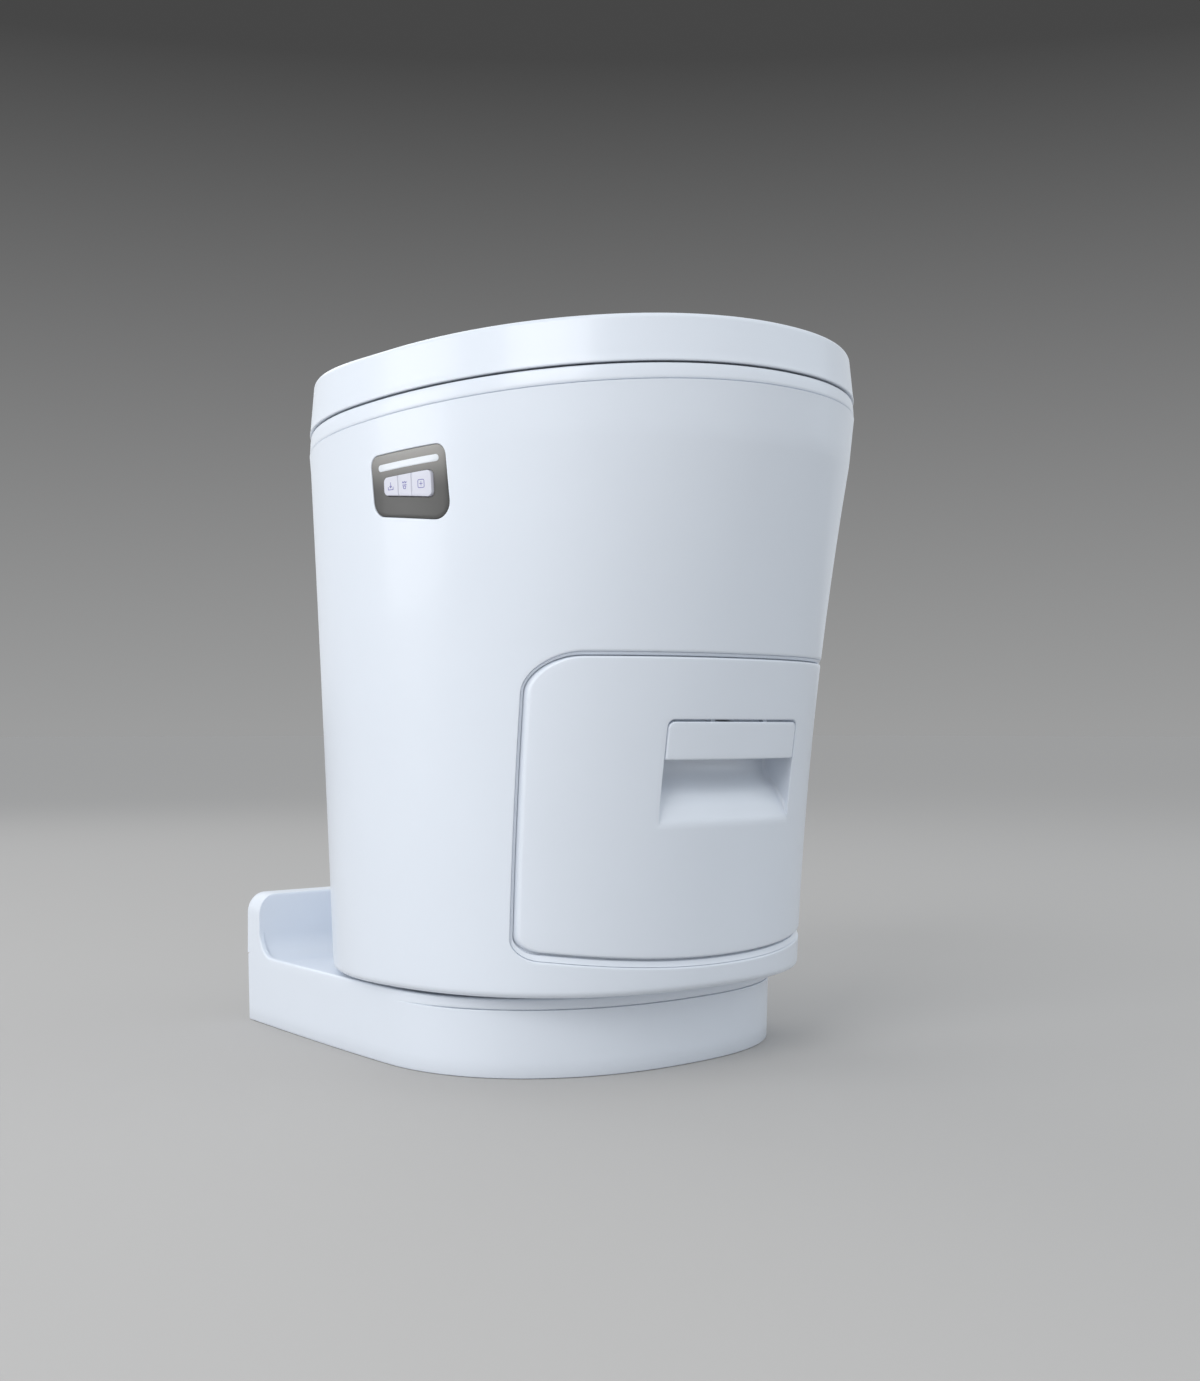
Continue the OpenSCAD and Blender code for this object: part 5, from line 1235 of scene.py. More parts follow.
@dataclass
class Recess:
    """Finger recess of the drawer front: a mouth with rounded upper corners over a floor that slopes out."""

    half_w: float = 65.4
    low_z: float = 173.6
    top_z: float = 244.3
    corner_r: float = 5.0
    deep: float = 28.0
    wall: float = 2.5
    rise: float = 39.4
    wall_steps: int = 6
    bend_steps: int = 6
    corner_steps: int = 10
    bend_r: float = 3.0
    bend_share: float = 0.6
    fade_from: float = 2.0
    fade_l: float = 10.0
    slope: tuple[Pair, ...] = (
        (-0.2, 0.0), (0.0, 0.0), (0.3, 0.2), (0.55, 0.47), (0.72, 0.74), (0.85, 0.88), (1.0, 0.94), (3.0, 1.0))

    def depth(self, z: Value) -> Value:
        """Works out the floor's depth at heights: the full depth times the share in the slope's table."""
        q = (z - self.low_z) / self.rise
        return self.deep * np.interp(q, *np.array(self.slope).T)

    def half(self, z: Value) -> Value:
        """Works out the mouth's half width at heights, rounded in at its upper corners."""
        over = np.clip(z - (self.top_z - self.corner_r), 0, self.corner_r)
        return self.half_w - self.corner_r + np.sqrt(np.clip(self.corner_r ** 2 - over ** 2, 0, None))

    def heights(self, side: int) -> Array:
        """Works out the heights of the rows, closer at the rounded corners.

        Args:
            side: Number of rows under the corners.

        Returns:
            The heights.
        """
        corner = self.top_z - self.corner_r
        turn = np.linspace(0, QUARTER, self.corner_steps + 1)[1:]
        return np.concatenate([np.linspace(self.low_z, corner, side), corner + self.corner_r * np.sin(turn)])

    def mouth(self, z_rows: Array, across: Array, columns: int) -> tuple[Array, Array]:
        """Works out the mouth's outline from its lower left corner, anticlockwise, and its outward directions.

        Args:
            z_rows: Heights of the rows.
            across: Shares -1 to 1 of the lower edge's points.
            columns: Points along the upper edge.

        Returns:
            The points and the directions, each points x 2.
        """
        low_x = across[:-1] * self.half_w
        top_x = np.linspace(self.half_w - self.corner_r, self.corner_r - self.half_w, columns + 1)
        right = np.stack([self.half(z_rows), z_rows], -1)
        mouth = np.concatenate([
            np.stack([low_x, np.full(len(low_x), self.low_z)], -1), right[:-1],
            np.stack([top_x[:-1], np.full(columns, self.top_z)], -1), right[:0:-1] * [-1, 1]])
        centre_x = np.clip(mouth[:, 0], self.corner_r - self.half_w, self.half_w - self.corner_r)
        away = mouth - np.stack([centre_x, np.minimum(mouth[:, 1], self.top_z - self.corner_r)], -1)
        away[:, 1] = np.where(mouth[:, 1] > self.top_z - self.corner_r, away[:, 1], 0.0)
        length = np.linalg.norm(away, axis=1)
        return mouth, away / np.maximum(length, TINY)[:, None] * (length > TINY)[:, None]

    def fade(self, z: Value) -> Value:
        """Works out how far the mouth's soft edge takes part: not at all at the recess's lower end."""
        return np.clip((z - self.low_z - self.fade_from) / self.fade_l, 0.0, 1.0)

    def inside(self, z_rows: Array, across: Array, soft: float) -> Array:
        """Works out the recess's inside: rows by height, each across a wall, a bend, the floor and back.

        Args:
            z_rows: Heights of the rows.
            across: Shares -1 to 1 of the floor's columns.
            soft: Radius of the mouth's soft edge, behind which the walls begin.

        Returns:
            Rows x columns x 3 points.
        """
        rows = []
        for z in z_rows:
            deep, half = float(self.depth(z)), float(self.half(z))
            bend = min(self.bend_r, deep * self.bend_share)
            angle = np.linspace(0, QUARTER, self.bend_steps + 1)
            x = np.concatenate([np.full(self.wall_steps, half), half - bend + bend * np.cos(angle)])
            d = np.concatenate([np.linspace(soft * float(self.fade(z)), deep - bend, self.wall_steps, endpoint=False),
                                deep - bend + bend * np.sin(angle)])
            floor_x = across[1:-1] * (half - bend)
            xs = np.concatenate([-x, floor_x, x[::-1]])
            ds = np.concatenate([d, np.full(len(floor_x), deep), d[::-1]])
            rows.append(FORM.ahead(xs, z, ds))
        return np.stack(rows)


@dataclass
class DrawerFront:
    """Front panel of the drawer with its finger recess, ribs and lugs."""

    recess: Recess = field(default_factory=Recess)
    thick: float = 4.0
    lip_r: float = 1.6
    lip_steps: int = 6
    mouth_r: float = 0.9
    mouth_steps: int = 4
    columns: int = 56
    low_columns: int = 46
    side_rows: int = 25
    face_rows: int = 21
    back_shares: Four = (0.3, 0.6, 0.85, 1.0)
    rib_x: float = 64.0
    rib_half: float = 5.0
    rib_z: Pair = (96.0, 118.0)
    rib_rear: float = -148.3
    pin: Pair = PADDLE_PIN
    lug_x: Pair = (24.5, 28.5)
    lug_r: float = 2.4
    lug_front: float = 1.0
    lug_shoulder: float = 2.18
    lug_steps: int = 16
    lap: float = 0.5
    slot_half: float = 10.786
    slot_depth: float = 19.1

    def face(self, draft: Draft, outline: Array, normal: Array, mouth: Array, out: Array) -> Array:
        """Adds the face: the outer edge, loops that blend from it to the mouth, and the mouth's soft edge.

        Args:
            draft: The mesh.
            outline: Outer outline, points x 2.
            normal: Its outward normals.
            mouth: The mouth's outline.
            out: The mouth's outward directions.

        Returns:
            The last loop, points x 3.
        """
        step = -Face.FRONT.steps(outline, normal)
        loops = [Face.FRONT.place(outline, self.thick)]
        loops += Face.FRONT.rim(outline, step, self.lip_r, self.lip_steps)[::-1]
        fade = self.recess.fade(mouth[:, 1])
        edge, start = outline + step * self.lip_r, mouth + out * (self.mouth_r * fade)[:, None]
        loops += [Face.FRONT.place(edge * (1 - q) + start * q, 0.0)
                  for q in np.linspace(0, 1, self.face_rows + 1)[1:-1]]
        loops += [Face.FRONT.place(mouth + out * (back * fade)[:, None], deep * fade)
                  for back, deep in quarter(self.mouth_r, self.mouth_steps)]
        draft.grid(loops, wrap=True)
        return loops[-1]

    def roof(self, draft: Draft, rear: Array, front: Array, slot_front: Array, slot_rear: Array) -> None:
        """Adds the recess's roof round the slot for the paddle's arm, and the slot's four walls.

        Left and right of the slot a polygon runs from the mouth to the rear edge, and one lies before the slot.

        Args:
            draft: The mesh.
            rear: Rear edge of the roof, from -X to +X.
            front: Front edge of the roof, from +X to -X.
            slot_front: Upper front edge of the slot, from +X to -X.
            slot_rear: Upper rear edge of the slot, from +X to -X.
        """
        line = np.array([-self.slot_half, self.slot_half])
        left, right = FORM.ahead(line, np.full(2, self.recess.top_z), self.slot_depth)
        low, high = rear[:, 0] < -self.slot_half + NEAR, rear[:, 0] > self.slot_half - NEAR
        fore_low, fore_high = front[:, 0] < -self.slot_half + NEAR, front[:, 0] > self.slot_half - NEAR
        middle, between = (np.abs(line[:, 0]) < self.slot_half + NEAR for line in (front, rear))
        draft.cap(np.concatenate([rear[low], [left], front[fore_low]]))
        draft.cap(np.concatenate([rear[high], front[fore_high], [right]]))
        draft.cap(np.concatenate([[left, right], front[middle]]))
        draft.cap(np.concatenate([[left, right], slot_front]), flip=True)
        draft.cap(np.concatenate([rear[between], slot_rear]))
        draft.cap(np.stack([rear[low][-1], left, slot_front[-1], slot_rear[-1]]), flip=True)
        draft.cap(np.stack([right, rear[high][0], slot_rear[0], slot_front[0]]), flip=True)

    def build(self) -> None:
        """Builds the front panel: its face and edges, the recess inside, and the hidden back with the box."""
        draft, recess = Draft(), self.recess
        z_rows = recess.heights(self.side_rows)
        side = len(z_rows) - 1
        slot = self.slot_half / (recess.half_w - recess.corner_r - recess.bend_r)
        across = np.sort(np.concatenate([np.linspace(-1, 1, self.low_columns), [-slot, slot]]))
        mouth, out = recess.mouth(z_rows, across, self.columns)
        outline, normal = DOOR.outline().trace((len(across) - 1, side, self.columns, side))
        last = self.face(draft, outline, normal, mouth, out)
        inside = recess.inside(z_rows, across, self.mouth_r)
        draft.grid(inside)
        top = len(across) - 1 + side
        span = slice(top, top + self.columns + 1)
        edge = np.abs(mouth[span, 0]) < self.slot_half + NEAR
        slot_front, slot_rear = self.back(draft, outline, mouth, out, np.where(edge)[0] + top)
        self.roof(draft, inside[-1], last[span], slot_front, slot_rear)
        for mirror in (-1, 1):
            self.rib(draft, mirror * self.rib_x)
            self.lug(draft, mirror)
        put(draft.build("drawer_front", sharp=38), "drawer", "white_gloss", Tone.WHITE.material, "front_panel")

    def back(self, draft: Draft, outline: Array, mouth: Array, out: Array, slot: Array) -> tuple[Array, Array]:
        """Adds the hidden side: from the outline's rear edge to the box behind the recess and over it.

        Args:
            draft: The mesh.
            outline: Outer outline, points x 2.
            mouth: The mouth's outline.
            out: The mouth's outward directions.
            slot: Columns of the slot.

        Returns:
            Upper front edge and upper rear edge of the slot, from +X to -X.
        """
        recess = self.recess
        low = np.abs(mouth[:, 1] - recess.low_z) < NEAR
        hidden = mouth + out * recess.wall - np.where(low, recess.wall, 0.0)[:, None] * [[0.0, 1.0]]
        rear = [Face.FRONT.place(outline * (1 - q) + hidden * q, self.thick) for q in (0.0, 0.5, 1.0)]
        draft.grid(rear, wrap=True, flip=True)
        deep = np.maximum(self.thick, recess.depth(hidden[:, 1]) + recess.wall)
        fill = [rear[-1]] + [Face.FRONT.place(hidden, np.minimum(deep, stop))
                             for stop in (self.slot_depth, recess.deep, math.inf)]
        for q in self.back_shares:
            ring = hidden * [1 - q, 1.0]
            fill.append(Face.FRONT.place(ring, np.maximum(self.thick, recess.depth(ring[:, 1]) + recess.wall)))
        mask = np.zeros((len(fill) - 1, len(hidden)), bool)
        mask[1, slot[:-1]] = True
        draft.grid(fill, wrap=True, skip=mask, flip=True)
        return fill[1][slot], fill[2][slot]

    def rib(self, draft: Draft, x: float) -> None:
        """Adds a rib between the panel's back and the tray.

        Args:
            draft: The mesh.
            x: Its place across.
        """
        low, high = self.rib_z
        front = float(FORM.ahead(x, (low + high) / 2, self.thick - self.lap)[1])
        left, right = x - self.rib_half, x + self.rib_half
        ring = np.array([[left, 0, low], [right, 0, low], [right, 0, high], [left, 0, high]])
        draft.tube([ring + [0, front, 0], ring + [0, self.rib_rear, 0]], flip=True)

    def lug(self, draft: Draft, mirror: int) -> None:
        """Adds a lug that hangs from the recess roof and holds the paddle's pin.

        Args:
            draft: The mesh.
            mirror: 1 or -1 for the side.
        """
        z = self.pin[1]
        up = self.recess.top_z + self.lap - z
        turn = np.linspace(-math.pi, 0, self.lug_steps + 1)
        shape = np.concatenate([np.stack([self.lug_r * np.cos(turn), self.lug_r * np.sin(turn)], -1),
                                [[self.lug_r, up], [-self.lug_front, up], [-self.lug_front, self.lug_shoulder]]])
        ends = sorted(mirror * x for x in self.lug_x)
        draft.tube([np.insert(shape + self.pin, 0, x, axis=1) for x in ends])


@dataclass
class Paddle:
    """Latch paddle: a curved plate with soft edges, its barrel and the arm to the catch."""

    plate: Outline = Outline(((-64.6, 217.0), (64.6, 217.0), (64.6, 242.8), (-64.6, 242.8)), (1.4, 1.4, 5.0, 5.0))
    even: Outline = Outline.rectangle(-64.6, 64.6, 217.0, 242.8, 5.0)
    thick: float = 3.0
    front_r: float = 1.1
    front_steps: int = 5
    front_shares: Four = (0.25, 0.5, 0.75, 1.0)
    back_r: float = 0.8
    back_steps: int = 4
    back_shares: Triple = (1.0, 0.8, 0.4)
    barrel_r: float = 2.5
    barrel_half: float = 24.0
    pin: Pair = PADDLE_PIN
    arm_half: float = 8.0
    arm_rear: float = -164.5
    arm_wall: float = 4.0
    arm_top: float = 278.3
    foot_front: float = -176.5
    middle_share: float = 0.86
    soft: float = 0.4
    lap: float = 0.05
    counts: Counts = (64, 14, 64, 14)

    def build(self) -> None:
        """Builds the paddle: loops from the middle of its back over both soft edges to the middle of its face.

        The middle line takes its points from an outline with even corners, so that its upper and lower points meet.
        """
        outline, normal = self.plate.trace(self.counts)
        even, even_normal = self.even.trace(self.counts)
        middle_z = float(even[:, 1].mean())

        def inward(radius: float, depth: float, shares: tuple[float, ...]) -> list[Array]:
            """Works out loops from a soft edge to the middle line.

            Args:
                radius: Radius of the edge.
                depth: Depth under the body's outer face.
                shares: Shares of the way to the middle line.

            Returns:
                Loops of points x 3.
            """
            inner, line = outline - normal * radius, (even - even_normal * radius) * self.middle_share
            line[:, 1] = middle_z
            return [Face.FRONT.place(inner * (1 - q) + line * q, depth) for q in shares]

        loops = inward(self.back_r, self.thick, self.back_shares)
        loops += [Face.FRONT.place(outline - normal * back, self.thick - deep)
                  for back, deep in quarter(self.back_r, self.back_steps)]
        loops += [Face.FRONT.place(outline - normal * back, deep)
                  for back, deep in quarter(self.front_r, self.front_steps)[::-1]]
        loops += inward(self.front_r, 0.0, self.front_shares)
        draft = Draft()
        draft.grid(loops, wrap=True)
        y, z = self.pin
        draft.tube(round_bar((-self.barrel_half, y, z), (self.barrel_half, y, z), self.barrel_r, self.soft))
        low, rear, half = z - self.barrel_r, self.arm_rear, self.arm_half
        top, wall, lap = self.arm_top, self.arm_wall, self.lap
        draft.block((-half, y, low), (half, rear - lap, low + wall), self.soft)
        draft.block((lap - half, rear - wall, low + lap), (half - lap, rear, top - lap), self.soft)
        draft.block((-half, self.foot_front, top - wall), (half, rear - lap, top), self.soft)
        put(draft.build("paddle_skin"), "paddle", "white_gloss", Tone.WHITE.material, "latch_paddle")


# -------- key panel


class Icon(Enum):
    """The plain icons of the keys, front key first; each holds its lines, in shares of the icon's half size."""

    PLUS = ("ring", ((-0.5, 0.0), (0.5, 0.0)), ((0.0, -0.5), (0.0, 0.5)))
    FILM = ("wave", ((-0.75, 0.0), (0.75, 0.0)),
            ((-0.5, -0.3), (0.5, -0.3), (0.3, -0.95), (-0.3, -0.95), (-0.5, -0.3)))
    TRAY = ("", ((-0.9, -0.2), (-0.9, -0.9), (0.9, -0.9), (0.9, -0.2)), ((0.0, 0.95), (0.0, -0.4)),
            ((-0.4, 0.05), (0.0, -0.42), (0.4, 0.05)))

    def lines(self, size: float) -> list[Array]:
        """Works out the icon's lines.

        Args:
            size: Half size of the icon.

        Returns:
            Lines of points x 2 round the icon's middle.
        """
        shape, *strokes = self.value
        lines = [np.array(stroke) * size for stroke in strokes]
        corner, half, level, height, pitch = 0.35, 0.75, 0.65, 0.2, 10
        if shape == "ring":
            ring, _ = Outline.rectangle(-size, size, -size, size, size * corner).trace((12, 12, 12, 12))
            lines.append(np.concatenate([ring, ring[:1]]))
        elif shape == "wave":
            u = np.linspace(-half, half, 25)
            lines.append(np.stack([u, level + height * np.sin(u * pitch)], -1) * size)
        return lines


@dataclass
class KeyPanel:
    """Grey plate in the side of the shell with a light bar and three keys that carry plain icons."""

    plate_inset: float = 0.3
    plate_thick: float = 2.5
    hole_gap: float = 0.3
    key_rise: float = 1.5
    key_base: float = 3.1
    key_back: float = 6.0
    flange: float = 1.2
    light_front: float = 0.05
    light_back: float = 4.8
    posts: tuple[Pair, ...] = ((-78.3, 391.67), (-78.3, 407.47), (-19.6, 391.67), (-19.6, 407.47))
    post_r: float = 2.0
    post_end: float = -168.3
    stem_r: float = 2.5
    stem_end: float = -171.5
    icon_size: float = 2.7
    line_w: float = 0.42
    line_step: float = 0.4
    ink: float = 0.1
    ink_sunk: float = 0.2
    plate_edge: float = 0.5
    hole_edge: float = 0.3
    light_edge: float = 0.8
    key_edge: float = 0.45
    face_shares: Four = (0.3, 0.6, 0.85, 1.0)
    plate_rows: int = 6
    upright: float = 0.9
    flange_edge: float = 0.1
    counts: Counts = (36, 26, 36, 26)
    keys: tuple[tuple[str, str, Icon], ...] = (("plus", "plus_button", Icon.PLUS), ("pack", "pack_button", Icon.FILM),
                                               ("tray", "tray_button", Icon.TRAY))

    def plug(self, draft: Draft, outline: Outline, front: float, back: float, lip: float,
             grow: Value = 0.0) -> None:
        """Adds a plug that follows the body's side between two insets: loops from its back over its edge.

        Args:
            draft: The mesh.
            outline: Its outline.
            front: Inset of its face.
            back: Inset of its back.
            lip: Radius of its front edge.
            grow: Distance that the outline is grown by.
        """
        flat, normal = outline.trace(self.counts)
        flat = flat + normal * grow
        centre = flat.mean(axis=0)
        loops = [Face.PANEL.place(centre + (flat - centre) * q, back) for q in (0.0, 0.5, 1.0)]
        loops += Face.PANEL.rim(flat, -normal, lip, 4, front)[::-1]
        inner = flat - normal * lip
        loops += [Face.PANEL.place(inner * (1 - q) + centre * q, front) for q in self.face_shares]
        draft.grid(loops, wrap=True)

    def plate(self) -> None:
        """Builds the plate: loops from the outer outline in to the opening round the keys, and its posts."""
        outline, normal = PANEL.plate.trace(self.counts)
        hole, hole_out = PANEL.row.trace(self.counts)
        hole = hole + hole_out * self.hole_gap
        back = self.plate_inset + self.plate_thick
        loops = [Face.PANEL.place(outline, back)]
        loops += Face.PANEL.rim(outline, -normal, self.plate_edge, 3, self.plate_inset)[::-1]
        inner, rim = outline - normal * self.plate_edge, hole + hole_out * self.hole_edge
        loops += [Face.PANEL.place(inner * (1 - q) + rim * q, self.plate_inset)
                  for q in np.linspace(0, 1, self.plate_rows + 1)[1:]]
        loops += [Face.PANEL.place(hole, self.plate_inset + self.hole_edge), Face.PANEL.place(hole, back)]
        draft = Draft()
        draft.grid(loops, wrap=True, close=True)
        for y, z in self.posts:
            x = float(FORM.beside(y, z, back - 1)[0])
            draft.tube(round_bar((x, y, z), (self.post_end, y, z), self.post_r))
        put(draft.build("panel_skin"), "toilet", "panel_grey", Tone.PANEL.material, "panel_plate")

    def light(self) -> None:
        """Builds the light bar, a slim rounded bar that stands level with the shell."""
        draft = Draft()
        self.plug(draft, PANEL.light, self.light_front, self.light_back, self.light_edge)
        put(draft.build("light_bar_skin"), "toilet", "light_white", Tone.LIGHT.material, "light_bar")

    def stroke(self, draft: Draft, path: Array) -> None:
        """Adds an inked line: a flat ribbon along a path, a hair above the key's face.

        Args:
            draft: The mesh.
            path: Points x 2 in the panel's plane.
        """
        length = np.concatenate([[0], np.cumsum(np.linalg.norm(np.diff(path, axis=0), axis=1))])
        at = np.unique(np.concatenate([length, np.linspace(0, length[-1], int(length[-1] / self.line_step) + 2)]))
        line = np.stack([np.interp(at, length, side) for side in path.T], -1)
        ahead = np.gradient(line, axis=0)
        closed = bool(np.allclose(path[0], path[-1]))
        if closed:
            ahead[0] = ahead[-1] = line[1] - line[-2]
        ahead /= np.linalg.norm(ahead, axis=1)[:, None]
        across = np.stack([-ahead[:, 1], ahead[:, 0]], -1) * self.line_w / 2
        front, back = -self.key_rise - self.ink, -self.key_rise + self.ink_sunk
        rings = [Face.PANEL.place(line + across * sign, inset)
                 for sign, inset in ((1, back), (-1, back), (-1, front), (1, front))]
        draft.tube(np.stack(rings, axis=1), flip=True, ends=not closed)

    def build(self) -> None:
        """Builds the plate, the light bar and the keys."""
        self.plate()
        self.light()
        self.row()

    def row(self) -> None:
        """Builds the three keys and their icons."""
        for index, (name, node, icon) in enumerate(self.keys):
            draft, outline = Draft(), PANEL.key(index)
            self.plug(draft, outline, -self.key_rise, self.key_base, self.key_edge)
            self.plug(draft, outline, self.key_base, self.key_back, self.flange_edge, self.flange_grow(index))
            u, v = PANEL.middle(index)
            x = float(FORM.beside(-u, v, self.key_back - 1)[0])
            draft.tube(round_bar((x, -u, v), (self.stem_end, -u, v), self.stem_r))
            body = f"key_{name}"
            put(draft.build(f"{name}_key_skin"), body, "button_white", Tone.KEY.material, node)
            ink = Draft()
            for line in icon.lines(self.icon_size):
                self.stroke(ink, line + [u, v])
            put(ink.build(f"{name}_icon", sharp=60), body, "button_white", Tone.INK.material)

    def flange_grow(self, index: int) -> Array:
        """Works out how much the flange is grown at each point: above, below and at the ends of the row only.

        Args:
            index: Number of the key.

        Returns:
            Growth at each point of the key's outline, points x 1.
        """
        _, normal = PANEL.key(index).trace(self.counts)
        side = np.where(normal[:, 0] > 0, float(index == 0), float(index == 2))
        return (self.flange * np.maximum(np.abs(normal[:, 1]) > self.upright, side))[:, None]


# -------- base


@dataclass
class Base:
    """Floor base: a drum front, low side walls, a rear pocket and an upright with rounded corners."""

    half_w: float = 162.2
    front: float = 135.1
    wide_y: float = -5.2
    square: float = 2.3
    rear_half_w: float = 130.9
    rear: float = 239.6
    side_power: float = 1.2
    rim_z: float = 54.5
    seam_z: float = 46.6
    seam_h: float = 0.7
    wall_z: tuple[float, ...] = (0.0, 0.3, 0.9, 12.0, 24.0, 36.0, 45.6)
    seam_low: tuple[Pair, ...] = ((-0.08, 0.1), (0.0, 0.35), (0.05, 2.0))
    seam_high: tuple[Pair, ...] = ((-0.05, 2.0), (0.0, 0.4), (0.08, 0.15))
    seam_clear: Pair = (0.25, 0.3)
    over_z: float = 50.0
    wall: float = 3.5
    draft_in: float = 1.2
    upright_z: float = 103.9
    upright_t: float = 24.0
    corner_r: float = 16.0
    sweep_r: float = 20.0
    pocket_y: float = 125.0
    pocket_z: float = 50.0
    plan_r: float = 3.0
    cover_t: float = 4.0
    fillet_r: float = 1.8
    edge_r: float = 2.2
    foot_r: float = 0.9
    foot_middle: Pair = (0.3, 0.35)
    rear_z: Four = (40.0, 25.0, 10.0, 0.0)
    seam_fade: Pair = (0.02, 0.35)
    cheek_rows: int = 13
    step_down: float = 0.5
    least_step: float = 1e-4
    nudge: float = 0.02
    ceiling_z: float = 46.0
    drum_steps: int = 180
    offsets: tuple[float, ...] = (0.0, 0.2, 0.6, 1.1, 1.8, 2.4, 3.2, 4.0)
    arc: tuple[float, ...] = (4.3, 5.2, 6.4, 8.0, 10.0, 12.5, 16.0, 22.0, 60.0, 100.0, 1e9)

    @property
    def turn(self) -> Array:
        """The angles round the drum front, from its left end."""
        return np.linspace(math.pi, 2 * math.pi, self.drum_steps + 1)

    def side_x(self, y: Value) -> Array:
        """Works out the half width behind the widest line: it draws in with a power of the distance.

        Args:
            y: Places along.

        Returns:
            Half widths, rounded at the rear corners.
        """
        last = self.rear - self.plan_r

        def swept(place: Value) -> Value:
            """Works out w - (w - r) q^p at the share q of the way back."""
            q = np.clip((place - self.wide_y) / (self.rear - self.wide_y), 0, 1)
            return self.half_w - (self.half_w - self.rear_half_w) * q ** self.side_power

        over = np.where(y > self.rear - 5 * self.nudge, self.plan_r, np.clip(y - last, 0, self.plan_r))
        corner = swept(last) - self.plan_r
        return np.where(y > last, corner + np.sqrt(np.clip(self.plan_r ** 2 - over ** 2, 0, None)), swept(y))

    def wall_rows(self) -> tuple[Array, Array, Array]:
        """Works out the rows up the outer wall: a rounded foot, the draft, the seam line and the wall over it.

        Returns:
            Heights, steps in, and 1 where the seam's groove takes part.
        """
        low, high = self.seam_z, self.seam_z + self.seam_h
        rows = [(z, self.leaning(z), 0) for z in (*self.wall_z, low - self.seam_clear[0])]
        rows += [(edge + up, step, 1) for edge, table in ((low, self.seam_low), (high, self.seam_high))
                 for up, step in table]
        rows += [(z, 0.0, 0) for z in (high + self.seam_clear[1], self.over_z, self.rim_z - self.fillet_r)]
        z, step, seam = np.array(rows).T
        return z, step, seam

    def leaning(self, z: Value) -> Value:
        """Works out how far the wall steps in towards the floor, with the foot's rounded edge.

        Args:
            z: Heights.

        Returns:
            Steps in.
        """
        near = self.draft_in * (1 - self.foot_r / self.seam_z)
        up, step = self.foot_middle
        return np.interp(z, [0.0, up, self.foot_r, self.seam_z - 0.1],
                         [self.draft_in + self.foot_r, self.draft_in + step, near, 0.0])

    def ring(self, inset: Value, height: float) -> Array:
        """Works out a row round the drum front, from its left end.

        Args:
            inset: Distance that it is drawn in.
            height: Its height.

        Returns:
            Points x 3.
        """
        c, s = unit_circle(self.turn)
        y = self.wide_y + (self.front - inset) * squared(s, self.square)
        return points_of((self.half_w - inset) * squared(c, self.square), y, height)

    def fillet(self, offset: Array, high: float) -> Array:
        """Works out the height of a rounded rim at distances in from the wall."""
        r = self.fillet_r
        return high - (r - np.sqrt(np.clip(r ** 2 - (r - np.clip(offset, 0, r)) ** 2, 0, None)))

    def drum(self, draft: Draft) -> Array:
        """Adds the drum front: rows up the wall, over the rounded rim and in to the middle.

        Args:
            draft: The mesh.

        Returns:
            The lowest row, from -X to +X.
        """
        _, s = unit_circle(self.turn)
        fade = np.clip((np.abs(s) - self.seam_fade[0]) / self.seam_fade[1], 0, 1)
        rows = [self.ring(inward * (fade if groove else 1.0), height) for height, inward, groove in
                zip(*self.wall_rows())]
        offsets = np.array(self.offsets)
        rows += [self.ring(off, height) for off, height in zip(offsets, self.fillet(offsets, self.rim_z))]
        inner, middle = rows[-1], np.array([0.0, self.wide_y, self.rim_z])
        left = 1 - (self.half_w - np.minimum(self.arc, self.half_w)) / (self.half_w - self.offsets[-1])
        rows += [inner * (1 - q) + middle * q for q in left]
        draft.grid(rows)
        return rows[0]

    def stations(self) -> list[Triple]:
        """Lists the rear's stations: y, height of pocket or top, and height of the rim.

        They run over the level sides, down into the pocket, up the sweep, over the upright's edge, down to the
        cover's ledge and down the rear face.
        """
        face_y, nudge = self.rear - self.upright_t, self.nudge
        start, cover_y, top = face_y - self.sweep_r, self.rear - self.cover_t, self.upright_z
        found = [(y, self.rim_z, self.rim_z) for y in np.linspace(self.wide_y, self.pocket_y - 0.2, 24)]
        found += [(self.pocket_y, self.pocket_z, self.rim_z)]
        found += [(y, self.pocket_z, self.rim_z) for y in np.linspace(self.pocket_y + 4, start, 16)]
        for angle in np.linspace(-QUARTER, 0, 13)[1:]:
            rise = self.sweep_r * (1 + math.sin(angle))
            found.append((start + self.sweep_r * math.cos(angle), self.pocket_z + rise, self.rim_z + rise))
        climb = np.linspace(self.pocket_z + self.sweep_r, top - self.edge_r, 8)[1:]
        found += [(face_y + nudge * (i + 1), high, min(top - self.edge_r, high + self.rim_z - self.pocket_z))
                  for i, high in enumerate(climb)]
        edge_y = face_y + nudge * (len(climb) + 1)
        for angle in np.linspace(0, QUARTER, 7)[1:]:
            high = top - self.edge_r + self.edge_r * math.sin(angle)
            found.append((edge_y + self.edge_r * (1 - math.cos(angle)), high, high))
        found += [(y, top, top) for y in np.linspace(edge_y + self.edge_r + 2, cover_y - self.step_down, 5)]
        drop = [top - self.step_down, *np.linspace(top - 10, self.rim_z, 5)]
        found += [(cover_y + nudge * i, high, high) for i, high in enumerate(drop)]
        found += [(y, self.rim_z, self.rim_z) for y in np.linspace(cover_y + 0.4, self.rear - self.step_down, 6)]
        drop = (self.rim_z - self.step_down, *self.rear_z)
        return found + [(self.rear - nudge * (4 - i), high, high) for i, high in enumerate(drop)]

